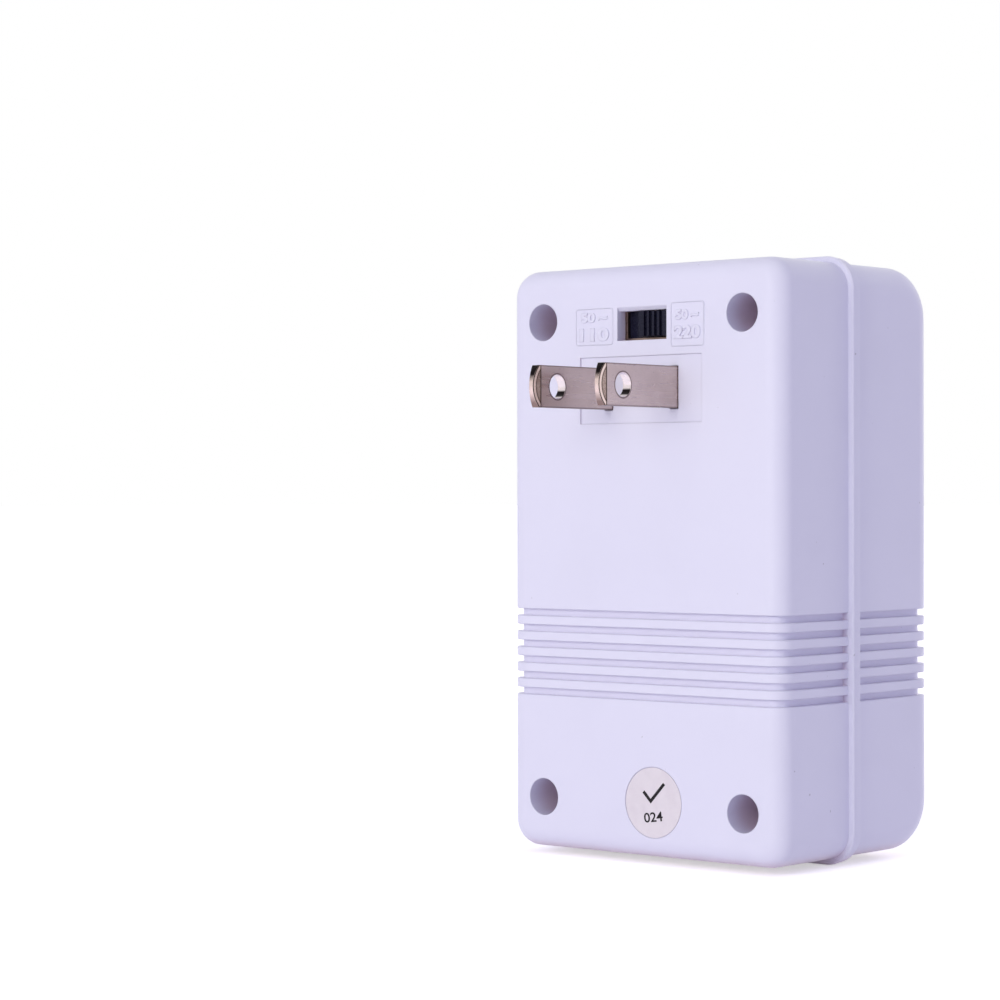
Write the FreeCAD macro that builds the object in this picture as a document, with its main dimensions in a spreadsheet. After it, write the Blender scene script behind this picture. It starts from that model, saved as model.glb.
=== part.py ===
import FreeCAD, Part
import math
import os

import Sketcher
from FreeCAD import Vector

# Plug-in voltage transformer: two moulded covers, a flat-bladed plug and a voltage selector at the
# back, a multi-standard socket and an indicator at the front, and a laminated transformer inside.
# X runs to the right seen from the front, Y to the back, Z up. Sizes are in millimetres.

SIZES = (
    ("case_width", 53.2, "housing, without the bead"),
    ("case_height", 91.0, "housing, without the bead"),
    ("front_depth", 23.3, "seam to the front face"),
    ("rear_depth", 17.7, "seam to the rear face"),
    ("wall", 2.0, "wall of both covers"),
    ("corner_radius", 4.2, "housing corners seen from the front"),
    ("front_edge_radius", 8.0, "top and bottom edges of the front cover"),
    ("rear_edge_radius", 3.2, "edge of the rear face"),
    ("bead_height", 0.9, "bead at the seam, proud of the walls"),
    ("bead_front", 1.7, "part of the bead on the front cover"),
    ("bead_rear", 0.5, "part of the bead on the rear cover"),
    ("bead_step", 0.12, "bead of the front cover, below that of the rear cover"),
    ("bead_bevel", 0.25, "outer edges of the bead"),
    ("parting_bevel", 0.12, "edge of the rear cover's bead at the parting line"),
    ("lip_height", 1.4, "tongue of the rear cover inside the front cover"),
    ("lip_thickness", 0.9, "tongue"),
    ("lip_gap", 0.1, "clearance round the tongue"),
    ("groove_drop", 7.87, "mid height down to the first groove"),
    ("groove_pitch", 2.49, "groove to groove"),
    ("groove_width", 1.08, "groove"),
    ("groove_depth", 1.0, "groove"),
    ("groove_count", 6, "grooves round the housing"),
    ("rib_bevel", 0.12, "edges of the grooves"),
    ("screw_x", 19.4, "case screws, from the middle"),
    ("screw_top", 37.2, "upper case screws, above mid height"),
    ("screw_bottom", 37.4, "lower case screws, below mid height"),
    ("screw_well_radius", 2.9, "well that a case screw sinks into"),
    ("screw_well_depth", 13.0, "rear face to the seat of the screw head"),
    ("screw_hole_radius", 1.7, "hole under the screw head"),
    ("post_radius", 4.2, "screw post of the rear cover"),
    ("boss_radius", 3.5, "screw boss of the front cover"),
    ("boss_gap", 0.1, "end of a post or boss to the seam plane"),
    ("case_screw_radius", 1.4, "shank of a case screw"),
    ("case_screw_length", 12.0, "under the head"),
    ("case_screw_head_radius", 2.6, "head"),
    ("case_screw_head_height", 1.9, "head"),
    ("pilot_gap", 0.05, "screw shank to its pilot hole"),
    ("pilot_spare", 1.0, "pilot hole past the screw's end"),
    ("slot_outer", 14.38, "side slots: outer end, from the middle"),
    ("slot_step", 7.6, "side slots: step towards the flat pin"),
    ("slot_inner", 5.2, "side slots: inner side of the flat pin"),
    ("slot_tip", 4.1, "side slots: tip of the slanted pin"),
    ("slot_top", 16.25, "side slots: top of the flat pin"),
    ("slot_shoulder", 14.3, "side slots: shoulder"),
    ("slot_upper", 13.3, "side slots: upper side of the wide pin"),
    ("slot_lower", 8.93, "side slots: lower side of the wide pin"),
    ("slot_bottom", 7.9, "side slots: bottom"),
    ("slot_ramp_head", 10.5, "side slots: ramp at the shoulder, from the middle"),
    ("slot_ramp_foot", 11.3, "side slots: ramp at the wide pin, from the middle"),
    ("slot_tip_top", 10.05, "side slots: slanted pin, at its tip"),
    ("slot_tip_root", 11.0, "side slots: slanted pin, at the flat pin"),
    ("earth_top", 37.15, "earth slot: top"),
    ("earth_half_width", 2.44, "earth slot: upper part"),
    ("earth_upper_z", 31.03, "earth slot: upper round hole"),
    ("earth_upper_radius", 3.52, "earth slot: upper round hole"),
    ("earth_neck", 1.34, "earth slot: half width of the neck"),
    ("earth_neck_z", 27.03, "earth slot: neck"),
    ("earth_funnel", 2.55, "earth slot: half width of the funnel over the neck"),
    ("earth_funnel_z", 28.75, "earth slot: top of the funnel"),
    ("earth_lower_z", 24.16, "earth slot: lower round hole"),
    ("earth_lower_radius", 3.05, "earth slot: lower round hole"),
    ("earth_foot", 1.77, "earth slot: half width of the foot"),
    ("earth_bottom", 18.33, "earth slot: bottom of the foot"),
    ("led_z", 37.9, "indicator, below mid height"),
    ("led_radius", 1.5, "indicator dome"),
    ("led_flange_radius", 1.9, "indicator flange"),
    ("led_flange_height", 1.0, "indicator flange"),
    ("led_length", 5.3, "indicator, dome to base"),
    ("led_proud", 0.8, "indicator, in front of the front face"),
    ("led_gap", 0.06, "clearance round the indicator"),
    ("led_collar", 1.5, "wall of the collar behind the indicator"),
    ("lead_radius", 0.25, "bare leads of small components"),
    ("lead_pitch", 2.54, "indicator leads"),
    ("badge_half_width", 18.2, "sunk panel on the front"),
    ("badge_top", 23.65, "sunk panel, below mid height"),
    ("badge_bottom", 31.05, "sunk panel, below mid height"),
    ("panel_sink", 0.3, "depth of the sunk panels"),
    ("carrier_half_width", 17.0, "socket carrier, wide part"),
    ("carrier_low", 5.2, "socket carrier, bottom"),
    ("carrier_step", 18.6, "socket carrier, top of the wide part"),
    ("carrier_neck", 7.4, "socket carrier, half width of the narrow part"),
    ("carrier_top", 40.2, "socket carrier, top"),
    ("carrier_depth", 13.9, "socket carrier, front to back"),
    ("carrier_gap", 0.1, "socket carrier to the inside of the front cover"),
    ("carrier_rounding", 1.0, "socket carrier, outline corners"),
    ("chamber_margin", 0.6, "contact chamber, past the slot"),
    ("ear_reach", 14.6, "carrier ears, from the middle"),
    ("ear_bottom", 19.3, "carrier ears"),
    ("ear_top", 25.7, "carrier ears"),
    ("ear_thickness", 3.0, "carrier ears"),
    ("carrier_screw_x", 11.3, "carrier screws, from the middle"),
    ("carrier_screw_z", 22.5, "carrier screws, above mid height"),
    ("small_screw_radius", 1.1, "shank of a small screw"),
    ("small_screw_hole", 1.3, "hole for a small screw"),
    ("small_screw_head_radius", 2.2, "head of a small screw"),
    ("small_screw_head_height", 1.5, "head of a small screw"),
    ("small_boss_radius", 2.7, "boss for a small screw"),
    ("carrier_screw_length", 10.0, "under the head"),
    ("retainer_thickness", 1.8, "plate behind the contacts"),
    ("retainer_margin", 0.9, "retainer inside the carrier's outline"),
    ("contact_sheet", 0.5, "copper sheet of the socket contacts"),
    ("contact_mouth", 4.3, "front face to the mouth of a contact"),
    ("contact_pinch", 6.8, "front face to the narrowest point of a contact"),
    ("contact_bend", 1.6, "bend radius of a contact leaf"),
    ("wide_pin_x", 11.1, "wide pins, from the middle"),
    ("wide_pin_z", 11.1, "wide pins, above mid height"),
    ("wide_leaf_width", 4.7, "leaves of the wide pins"),
    ("wide_leaf_root", 3.4, "root of a leaf, from the pin's middle"),
    ("wide_leaf_mouth", 2.55, "mouth of a leaf, from the pin's middle"),
    ("wide_leaf_pinch", 0.75, "narrowest point, from the pin's middle"),
    ("flat_leaf_x", 4.75, "leaf of the flat pin, from the middle"),
    ("flat_leaf_pinch", 5.7, "leaf of the flat pin, narrowest point"),
    ("flat_leaf_low", 8.4, "leaf of the flat pin"),
    ("flat_leaf_high", 15.8, "leaf of the flat pin"),
    ("spine_low", 6.4, "spine of a side contact"),
    ("spine_high", 17.6, "spine of a side contact"),
    ("tab_length", 4.5, "solder tab of a side contact"),
    ("earth_leaf_root", 3.3, "earth leaves, from the middle"),
    ("earth_leaf_mouth", 3.2, "earth leaves, mouth"),
    ("earth_leaf_pinch", 0.65, "earth leaves, narrowest point"),
    ("earth_leaf_low", 21.4, "earth leaves"),
    ("earth_leaf_slit_low", 26.6, "slit between the earth leaves"),
    ("earth_leaf_slit_high", 28.2, "slit between the earth leaves"),
    ("earth_leaf_high", 36.3, "earth leaves"),
    ("earth_bar", 5.7, "cross bar of the earth contact, from the middle"),
    ("blade_pitch", 12.7, "flat blades"),
    ("blade_height", 6.35, "flat blade"),
    ("blade_thickness", 1.5, "flat blade"),
    ("blade_length", 18.2, "rear face to the tip of a blade"),
    ("blade_z", 26.4, "blades, above mid height"),
    ("blade_tip_bow", 5.1, "radius of a blade's tip"),
    ("blade_wedge_length", 1.5, "bevel of a blade's tip, along the blade"),
    ("blade_wedge_depth", 0.4, "bevel of a blade's tip, across the blade"),
    ("blade_hole_radius", 1.85, "hole through a blade"),
    ("blade_hole_reach", 12.9, "rear face to the hole through a blade"),
    ("blade_tail_height", 4.4, "tail of a blade"),
    ("blade_tail_length", 5.0, "tail of a blade"),
    ("blade_shoulder_height", 8.4, "shoulder of a blade"),
    ("blade_shoulder_depth", 1.0, "shoulder of a blade"),
    ("blade_gap", 0.05, "blade to the plug base"),
    ("plug_half_width", 11.86, "sunk panel round the blades"),
    ("plug_top", 31.37, "sunk panel, above mid height"),
    ("plug_bottom", 21.06, "sunk panel, above mid height"),
    ("plug_gap", 0.1, "blade to its slot in the rear cover"),
    ("plug_flange_x", 14.2, "flange of the plug base, from the middle"),
    ("plug_flange_rim", 0.7, "flange of the plug base, past the sunk panel"),
    ("plug_flange_depth", 2.5, "flange of the plug base"),
    ("plug_block_x", 11.0, "block of the plug base, from the middle"),
    ("plug_block_depth", 7.5, "block of the plug base, from the wall"),
    ("plug_ear_x", 20.4, "ears of the plug base, from the middle"),
    ("plug_ear_half_height", 2.8, "ears of the plug base"),
    ("plug_boss_height", 3.5, "bosses under the ears"),
    ("plug_screw_x", 17.6, "screws of the plug base, from the middle"),
    ("plug_screw_length", 5.2, "under the head"),
    ("selector_x", -0.62, "middle of the selector"),
    ("selector_z", 36.27, "middle of the selector, above mid height"),
    ("selector_slot", 9.1, "slot of the selector frame"),
    ("selector_slot_height", 4.13, "slot of the selector frame"),
    ("window_side", 0.47, "frame seen inside the window, at the side"),
    ("window_foot", 0.43, "frame seen inside the window, at the bottom"),
    ("window_bevel", 0.6, "bevel over the window"),
    ("frame_sheet", 0.5, "steel of the selector frame"),
    ("frame_half_length", 9.5, "channel of the selector frame"),
    ("frame_half_height", 3.9, "channel of the selector frame"),
    ("frame_ear_reach", 13.0, "ears of the selector frame"),
    ("frame_ear_half_height", 2.5, "ears of the selector frame"),
    ("stake_x", 11.3, "stakes of the selector, from its middle"),
    ("stake_radius", 0.9, "stakes of the selector"),
    ("stake_height", 1.4, "stakes of the selector"),
    ("stake_gap", 0.08, "stake to its hole"),
    ("slider_travel", 3.3, "travel of the selector"),
    ("slider_half_length", 6.2, "plate of the slider"),
    ("slider_thickness", 1.5, "plate of the slider"),
    ("slider_gap", 0.1, "running clearance of the slider"),
    ("knob_width", 5.6, "knob of the slider"),
    ("knob_height", 3.85, "knob of the slider"),
    ("knob_sink", 0.4, "knob below the rear face"),
    ("knob_groove_depth", 0.45, "grooves of the knob"),
    ("knob_groove_width", 0.6, "grooves of the knob"),
    ("knob_ridges", 5, "ridges of the knob"),
    ("slider_foot_half_width", 2.4, "foot under the slider"),
    ("slider_foot_height", 1.2, "foot under the slider"),
    ("bridge_sheet", 0.3, "copper of the sliding bridges"),
    ("bridge_width", 1.4, "sliding bridge"),
    ("bridge_row", 1.7, "rows of contacts, from the middle"),
    ("board_thickness", 1.3, "board of the selector"),
    ("board_gap", 0.05, "board to its frame"),
    ("board_depth", 5.4, "inner face of the wall to the board's face"),
    ("terminal_head", 0.3, "heads of the terminals"),
    ("terminal_width", 1.4, "terminals"),
    ("terminal_sheet", 0.5, "terminals"),
    ("terminal_length", 4.4, "terminals, past the board"),
    ("core_width", 41.0, "laminations"),
    ("core_leg", 13.0, "middle leg of the laminations"),
    ("core_side", 6.5, "side legs and yokes of the laminations"),
    ("core_window_height", 20.7, "window of the laminations"),
    ("core_stack", 20.0, "stack of laminations"),
    ("core_bottom", 31.5, "laminations, below mid height"),
    ("core_hole_radius", 1.7, "holes in the laminations"),
    ("core_hole_inset", 3.25, "holes in the laminations"),
    ("core_gap", 0.1, "laminations to the ribs beside them"),
    ("bobbin_gap", 0.15, "bobbin to the laminations"),
    ("bobbin_wall", 1.0, "bobbin"),
    ("bobbin_rim_x", 13.8, "flanges of the bobbin"),
    ("bobbin_rim_y", 17.3, "flanges of the bobbin"),
    ("bobbin_rounding", 1.0, "corners of the bobbin"),
    ("winding_gap", 0.1, "between the layers of the coil"),
    ("inner_winding", 3.0, "build of the inner winding"),
    ("outer_winding", 2.3, "build of the outer winding"),
    ("tape_thickness", 0.3, "tape round the coil"),
    ("fuse_radius", 1.9, "thermal fuse"),
    ("fuse_length", 10.5, "thermal fuse"),
    ("fuse_lead", 4.0, "leads of the thermal fuse"),
    ("resistor_radius", 1.15, "indicator resistor"),
    ("resistor_length", 6.2, "indicator resistor"),
    ("resistor_lead", 1.4, "leads of the resistor"),
    ("long_lead", 6.8, "longer lead of the indicator"),
    ("short_lead", 3.8, "shorter lead of the indicator"),
    ("rib_thickness", 1.5, "ribs inside the covers"),
    ("rib_clear", 1.0, "ribs, from the seam plane"),
    ("wire_radius", 0.65, "insulated wires"),
    ("wire_bend", 2.6, "bends of the insulated wires"),
    ("thin_wire_radius", 0.5, "wires of the indicator"),
    ("wire_seat", 0.05, "end of a wire to what it is soldered to"),
    ("label_radius", 5.35, "round paper label"),
    ("label_thickness", 0.12, "round paper label"),
    ("label_sink", 0.15, "recess for the round label"),
    ("label_gap", 0.1, "round label to its recess"),
    ("label_x", -2.46, "round paper label"),
    ("label_z", 36.9, "round paper label, below mid height"),
)

HALF_WIDTH = "(Size.case_width / 2)"
HALF_HEIGHT = "(Size.case_height / 2)"
FRONT_INSIDE = "(Size.front_depth - Size.wall)"
REAR_INSIDE = "(Size.rear_depth - Size.wall)"
ROOT_DEPTH = "(Size.wall / 4)"
CARRIER_FRONT = f"({FRONT_INSIDE} - Size.carrier_gap)"
CARRIER_BACK = f"({CARRIER_FRONT} - Size.carrier_depth)"
SPINE_MIDDLE = f"({CARRIER_BACK} - Size.contact_sheet / 2)"
RETAINER_BACK = f"({CARRIER_BACK} - Size.contact_sheet - Size.retainer_thickness)"
EAR_FRONT = f"({CARRIER_BACK} + Size.ear_thickness)"
CORE_MIDDLE = "((Size.rear_depth - Size.front_depth) / 2)"
CORE_HEIGHT = "(Size.core_window_height + 2 * Size.core_side)"
CORE_TOP = f"({CORE_HEIGHT} - Size.core_bottom)"
COIL_BOTTOM = "(Size.core_side - Size.core_bottom)"
COIL_TOP = f"({COIL_BOTTOM} + Size.core_window_height)"
BOARD_FACE = f"({REAR_INSIDE} - Size.board_depth)"
SLIDER_REST = "(Size.selector_x - Size.slider_travel / 2)"
SLIDER_FACE = f"({REAR_INSIDE} - Size.frame_sheet - Size.slider_gap)"
FOOT_FACE = f"({SLIDER_FACE} - Size.slider_thickness - Size.slider_foot_height)"
EAR_BACK = f"({REAR_INSIDE} - Size.plug_boss_height)"
BLOCK_FACE = f"({REAR_INSIDE} - Size.plug_block_depth)"
WINDOW_BOTTOM = "(Size.selector_z - Size.selector_slot_height / 2 - Size.window_foot)"
WINDOW_TOP = "(Size.selector_z + Size.selector_slot_height / 2)"
WINDOW_LEFT = "(Size.selector_x - Size.selector_slot / 2)"
WINDOW_RIGHT = "(Size.selector_x + Size.selector_slot / 2 + Size.window_side)"

# Middle of the plan outline, from the front of the indicator to the blade tips, and the foot.
SEAM_Y = "(Size.front_depth + Size.led_proud - Size.rear_depth - Size.blade_length) / 2"
MIDDLE_Z = "(Size.case_height / 2 + Size.bead_height)"

SCREW_CENTRES = (
    ("Size.screw_x", "Size.screw_top"),
    ("-Size.screw_x", "Size.screw_top"),
    ("Size.screw_x", "-Size.screw_bottom"),
    ("-Size.screw_x", "-Size.screw_bottom"),
)

doc = FreeCAD.newDocument("VoltageTransformer")
sheet = doc.addObject("Spreadsheet::Sheet", "Size")
nodes = []


def fill_sheet():
    for row, (alias, value, meaning) in enumerate(SIZES, 1):
        sheet.set(f"A{row}", alias)
        sheet.set(f"B{row}", str(value))
        sheet.set(f"C{row}", meaning)
        sheet.setAlias(f"B{row}", alias)
    doc.recompute()


def number(expression):
    """The value of an expression of the sheet's sizes."""
    return float(sheet.evalExpression(str(expression)))


def finish_node(item, label, x="0", y="0", z="0"):
    """Name a sub-part, and place it from the seam plane and mid height of the housing."""
    item.Label = label
    item.setExpression("Placement.Base.x", x)
    item.setExpression("Placement.Base.y", f"{SEAM_Y} + ({y})")
    item.setExpression("Placement.Base.z", f"{MIDDLE_Z} + ({z})")
    nodes.append(item)
    return item


# Sketches

def new_body(label):
    return doc.addObject("PartDesign::Body", label)


def origin_part(body, role):
    return next(item for item in body.Origin.OriginFeatures if item.Role == role)


def new_sketch(body, name, role="XZ_Plane", offset="0"):
    """On XZ the offset and the pads run to the front (-Y), on YZ to +X, on XY to +Z."""
    sketch = body.newObject("Sketcher::SketchObject", name)
    sketch.AttachmentSupport = [(origin_part(body, role), "")]
    sketch.MapMode = "FlatFace"
    sketch.setExpression("AttachmentOffset.Base.z", offset)
    return sketch


def dimension(sketch, kind, expression, *places):
    index = sketch.addConstraint(Sketcher.Constraint(kind, *places, number(expression)))
    sketch.setExpression(f"Constraints[{index}]", expression)


def locate(sketch, geometry, point, x, y):
    dimension(sketch, "DistanceX", x, -1, 1, geometry, point)
    dimension(sketch, "DistanceY", y, -1, 1, geometry, point)


def rounded_corner(sketch, corner, line_in, line_out, entry, leave, ahead):
    """An arc between two lines, held by its radius and by the sharp corner they point to."""
    x, y, radius = corner
    sharp = Vector(number(x), number(y), 0)
    along = (sharp - entry).normalize()
    left = along.x * ahead.y - along.y * ahead.x > 0
    side = Vector(-along.y, along.x, 0) * (1 if left else -1)
    centre = entry + side * number(radius)
    start, stop = (entry, leave) if left else (leave, entry)
    first = math.atan2(start.y - centre.y, start.x - centre.x)
    last = math.atan2(stop.y - centre.y, stop.x - centre.x)
    circle_line = Part.Circle(centre, Vector(0, 0, 1), number(radius))
    arc = sketch.addGeometry(Part.ArcOfCircle(circle_line, first, last))
    point = sketch.addGeometry(Part.Point(sharp), True)
    sketch.addConstraint(Sketcher.Constraint("Tangent", line_in, 2, arc, 1 if left else 2))
    sketch.addConstraint(Sketcher.Constraint("Tangent", arc, 2 if left else 1, line_out, 1))
    sketch.addConstraint(Sketcher.Constraint("PointOnObject", point, 1, line_in))
    sketch.addConstraint(Sketcher.Constraint("PointOnObject", point, 1, line_out))
    dimension(sketch, "Radius", radius, arc)
    locate(sketch, point, 1, x, y)


def bowed_edge(sketch, start, end, radius):
    """An arc that bulges to the right of the way from start to end, which is outwards."""
    chord = end - start
    half = chord.Length / 2
    rise = math.sqrt(number(radius) ** 2 - half ** 2)
    inward = Vector(-chord.y, chord.x, 0).normalize()
    centre = (start + end) / 2 + inward * rise
    first = math.atan2(start.y - centre.y, start.x - centre.x)
    last = math.atan2(end.y - centre.y, end.x - centre.x)
    round_line = Part.Circle(centre, Vector(0, 0, 1), number(radius))
    arc = sketch.addGeometry(Part.ArcOfCircle(round_line, first, last))
    dimension(sketch, "Radius", radius, arc)
    return arc


def outline(sketch, corners, bow=None):
    """Close an outline through corners, each (x, y) or (x, y, rounding) as expressions.

    With bow, the last edge is an arc of that radius; the corners then run anticlockwise.
    """
    count = len(corners)
    points = [Vector(number(c[0]), number(c[1]), 0) for c in corners]
    entries, leaves, aheads = [], [], []
    for i, corner in enumerate(corners):
        back = (points[i - 1] - points[i]).normalize()
        ahead = (points[(i + 1) % count] - points[i]).normalize()
        turn = math.pi - back.getAngle(ahead)
        reach = number(corner[2]) * math.tan(turn / 2) if len(corner) > 2 else 0
        entries.append(points[i] + back * reach)
        leaves.append(points[i] + ahead * reach)
        aheads.append(ahead)
    lines = []
    for i in range(count):
        start, end = leaves[i], entries[(i + 1) % count]
        if bow and i == count - 1:
            lines.append(bowed_edge(sketch, start, end, bow))
        else:
            lines.append(sketch.addGeometry(Part.LineSegment(start, end)))
    for i, corner in enumerate(corners):
        line_in, line_out = lines[i - 1], lines[i]
        if len(corner) > 2:
            rounded_corner(sketch, corner, line_in, line_out, entries[i], leaves[i], aheads[i])
        else:
            sketch.addConstraint(Sketcher.Constraint("Coincident", line_in, 2, line_out, 1))
            locate(sketch, line_out, 1, corner[0], corner[1])


def rectangle(sketch, x0, x1, y0, y1, rounding=None):
    tail = (rounding,) if rounding else ()
    outline(sketch, [(x0, y0) + tail, (x1, y0) + tail, (x1, y1) + tail, (x0, y1) + tail])


def centred_rectangle(sketch, half_x, half_y, rounding=None):
    rectangle(sketch, f"-({half_x})", half_x, f"-({half_y})", half_y, rounding)


def circle(sketch, x, y, radius):
    centre = Vector(number(x), number(y), 0)
    index = sketch.addGeometry(Part.Circle(centre, Vector(0, 0, 1), number(radius)))
    dimension(sketch, "Radius", radius, index)
    locate(sketch, index, 3, x, y)


# Features

def pad(body, sketch, length, back=False, both=False):
    feature = body.newObject("PartDesign::Pad", sketch.Name + "_pad")
    feature.Profile = sketch
    feature.setExpression("Length", length)
    feature.Reversed = back
    feature.Midplane = both
    body.Tip = feature
    doc.recompute()
    return feature


def trim(body, sketch, length, ahead=False, both=False):
    """A pocket against the sketch's normal, or ahead along it."""
    feature = body.newObject("PartDesign::Pocket", sketch.Name + "_cut")
    feature.Profile = sketch
    feature.setExpression("Length", length)
    feature.Reversed = ahead
    feature.Midplane = both
    body.Tip = feature
    doc.recompute()
    return feature


def cut(body, sketch, length, ahead=False, both=False):
    """A pocket that has to remove material."""
    before = body.Tip.Shape.Volume
    feature = trim(body, sketch, length, ahead, both)
    if feature.Shape.Volume >= before:
        raise RuntimeError(f"{feature.Name} removes nothing")
    return feature


def lies(edge, **planes):
    """Whether an edge or face lies in the named planes, such as x=3."""
    box = edge.BoundBox
    for axis, value in planes.items():
        low = getattr(box, axis.upper() + "Min")
        high = getattr(box, axis.upper() + "Max")
        if abs(low - value) > 1e-3 or abs(high - value) > 1e-3:
            return False
    return True


def picked(shapes, kind, test):
    return [f"{kind}{i}" for i, shape in enumerate(shapes, 1) if test(shape)]


def dress_edges(body, kind, name, size, test):
    base = body.Tip
    feature = body.newObject("PartDesign::" + kind, name)
    feature.Base = (base, picked(base.Shape.Edges, "Edge", test))
    feature.setExpression("Radius" if kind == "Fillet" else "Size", size)
    body.Tip = feature
    doc.recompute()
    return feature


def round_edges(body, name, radius, test):
    return dress_edges(body, "Fillet", name, radius, test)


def bevel_edges(body, name, size, test):
    return dress_edges(body, "Chamfer", name, size, test)


def repeat(body, feature, role, pitch, count):
    pattern = body.newObject("PartDesign::LinearPattern", feature.Name + "_row")
    pattern.Originals = [feature]
    pattern.Direction = (origin_part(body, role), [""])
    pattern.setExpression("Length", f"({pitch}) * (({count}) - 1)")
    pattern.setExpression("Occurrences", count)
    body.Tip = pattern
    doc.recompute()
    return pattern


def box(name, x0, x1, y0, y1, z0, z1):
    item = doc.addObject("Part::Box", name)
    item.setExpression("Length", f"({x1}) - ({x0})")
    item.setExpression("Width", f"({y1}) - ({y0})")
    item.setExpression("Height", f"({z1}) - ({z0})")
    item.setExpression("Placement.Base.x", x0)
    item.setExpression("Placement.Base.y", y0)
    item.setExpression("Placement.Base.z", z0)
    return item


def rod(name, radius, length, x="0", y="0", z="0", axis="z"):
    """A cylinder from a point, along +Z, +Y or +X."""
    turns = {
        "z": FreeCAD.Rotation(),
        "y": FreeCAD.Rotation(Vector(1, 0, 0), -90),
        "x": FreeCAD.Rotation(Vector(0, 1, 0), 90),
    }
    item = doc.addObject("Part::Cylinder", name)
    item.setExpression("Radius", radius)
    item.setExpression("Height", length)
    item.Placement = FreeCAD.Placement(Vector(), turns[axis])
    item.setExpression("Placement.Base.x", x)
    item.setExpression("Placement.Base.y", y)
    item.setExpression("Placement.Base.z", z)
    return item


def joined(name, items):
    item = doc.addObject("Part::MultiFuse", name)
    item.Shapes = items
    return item


def grouped(name, items):
    item = doc.addObject("Part::Compound", name)
    item.Links = items
    return item


def taken_from(name, base, tool):
    item = doc.addObject("Part::Cut", name)
    item.Base = base
    item.Tool = tool
    return item


# Bent strips and wires

def bent_path(points, radius):
    """Straight runs joined by tangent arcs, each held to its two runs."""
    edges = []
    start = points[0]
    for before, here, after in zip(points, points[1:], points[2:]):
        back = before - here
        ahead = after - here
        turn = math.pi - back.getAngle(ahead)
        room = 0.45 * min(back.Length, ahead.Length)
        reach = min(radius * math.tan(turn / 2), room)
        entry = here + back.normalize() * reach
        leave = here + ahead.normalize() * reach
        bow = reach / math.tan(turn / 2) * (1 / math.cos(turn / 2) - 1)
        middle = here + ((entry + leave) / 2 - here).normalize() * bow
        edges.append(Part.makeLine(start, entry))
        edges.append(Part.Arc(entry, middle, leave).toShape())
        start = leave
    edges.append(Part.makeLine(start, points[-1]))
    return Part.Wire(edges)


def strip(points, sheet_thickness, width, across):
    """A strip of sheet bent along points, its width along the unit vector across."""
    path = bent_path(points, number("Size.contact_bend"))
    along = (points[1] - points[0]).normalize()
    side = across * (width / 2)
    thick = along.cross(across) * (sheet_thickness / 2)
    corners = [points[0] + side * a + thick * b for a, b in ((1, 1), (1, -1), (-1, -1), (-1, 1))]
    section = Part.makePolygon(corners + corners[:1])
    return path.makePipeShell([section], True, False)


def wire(points, radius):
    """A wire along points, eight-sided in section."""
    path = bent_path(points, number("Size.wire_bend"))
    circle_line = Part.Circle(points[0], points[1] - points[0], radius)
    corners = [circle_line.value(math.pi * i / 4) for i in range(8)]
    return path.makePipeShell([Part.makePolygon(corners + corners[:1])], True, False)


def fixed_shape(name, shape):
    """A piece whose form is swept along a bent path."""
    item = doc.addObject("Part::Feature", name)
    item.Shape = shape
    return item


# Housing

def seam_ring(body, name, grow, offset="0"):
    """A ring at the seam, from the middle of the wall out past the walls by grow."""
    sketch = new_sketch(body, name, offset=offset)
    centred_rectangle(
        sketch,
        f"{HALF_WIDTH} + {grow}",
        f"{HALF_HEIGHT} + {grow}",
        f"Size.corner_radius + {grow}",
    )
    centred_rectangle(
        sketch,
        f"{HALF_WIDTH} - Size.wall / 2",
        f"{HALF_HEIGHT} - Size.wall / 2",
        "Size.corner_radius - Size.wall / 2",
    )
    return sketch


def bevel_bead(body, name, size, y, grow="Size.bead_height"):
    """Bevel the outer edge of the bead at a distance from the seam."""
    level = number(y)
    edge_x = number(f"{HALF_WIDTH} + {grow}")
    bevel_edges(body, name, size,
                lambda edge: lies(edge, y=level) and (lies(edge, x=edge_x) or lies(edge, x=-edge_x)))


def cut_grooves(body, depth, start, rounding, sign):
    """Grooves round three sides of a cover, from the bead to the face and back."""
    name = body.Name + "_grooves"
    past = "Size.groove_depth"
    out_x = f"({HALF_WIDTH} + {past})"
    in_x = f"({HALF_WIDTH} - Size.groove_depth)"
    near = f"{sign}{start}"
    out_y = f"{sign}({depth} + {past})"
    in_y = f"{sign}({depth} - Size.groove_depth)"
    sketch = new_sketch(body, name, "XY_Plane", "-Size.groove_drop - Size.groove_width")
    floor_rounding = f"{rounding} - Size.groove_depth"
    outline(sketch, [
        (f"-{out_x}", near),
        (f"-{out_x}", out_y),
        (out_x, out_y),
        (out_x, near),
        (in_x, near),
        (in_x, in_y, floor_rounding),
        (f"-{in_x}", in_y, floor_rounding),
        (f"-{in_x}", near),
    ])
    groove = cut(body, sketch, "Size.groove_width", ahead=True)
    row = repeat(body, groove, "Z_Axis", "Size.groove_pitch", "Size.groove_count")
    row.Reversed = True
    doc.recompute()
    face_y = number(f"{sign}{depth}")
    top = number("-Size.groove_drop")
    levels = []
    for index in range(int(number("Size.groove_count"))):
        upper = top - index * number("Size.groove_pitch")
        levels += [upper, upper - number("Size.groove_width")]

    def rib_edge(edge):
        return any(lies(edge, y=face_y, z=level) for level in levels)

    bevel_edges(body, name + "_edges", "Size.rib_bevel", rib_edge)


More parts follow.
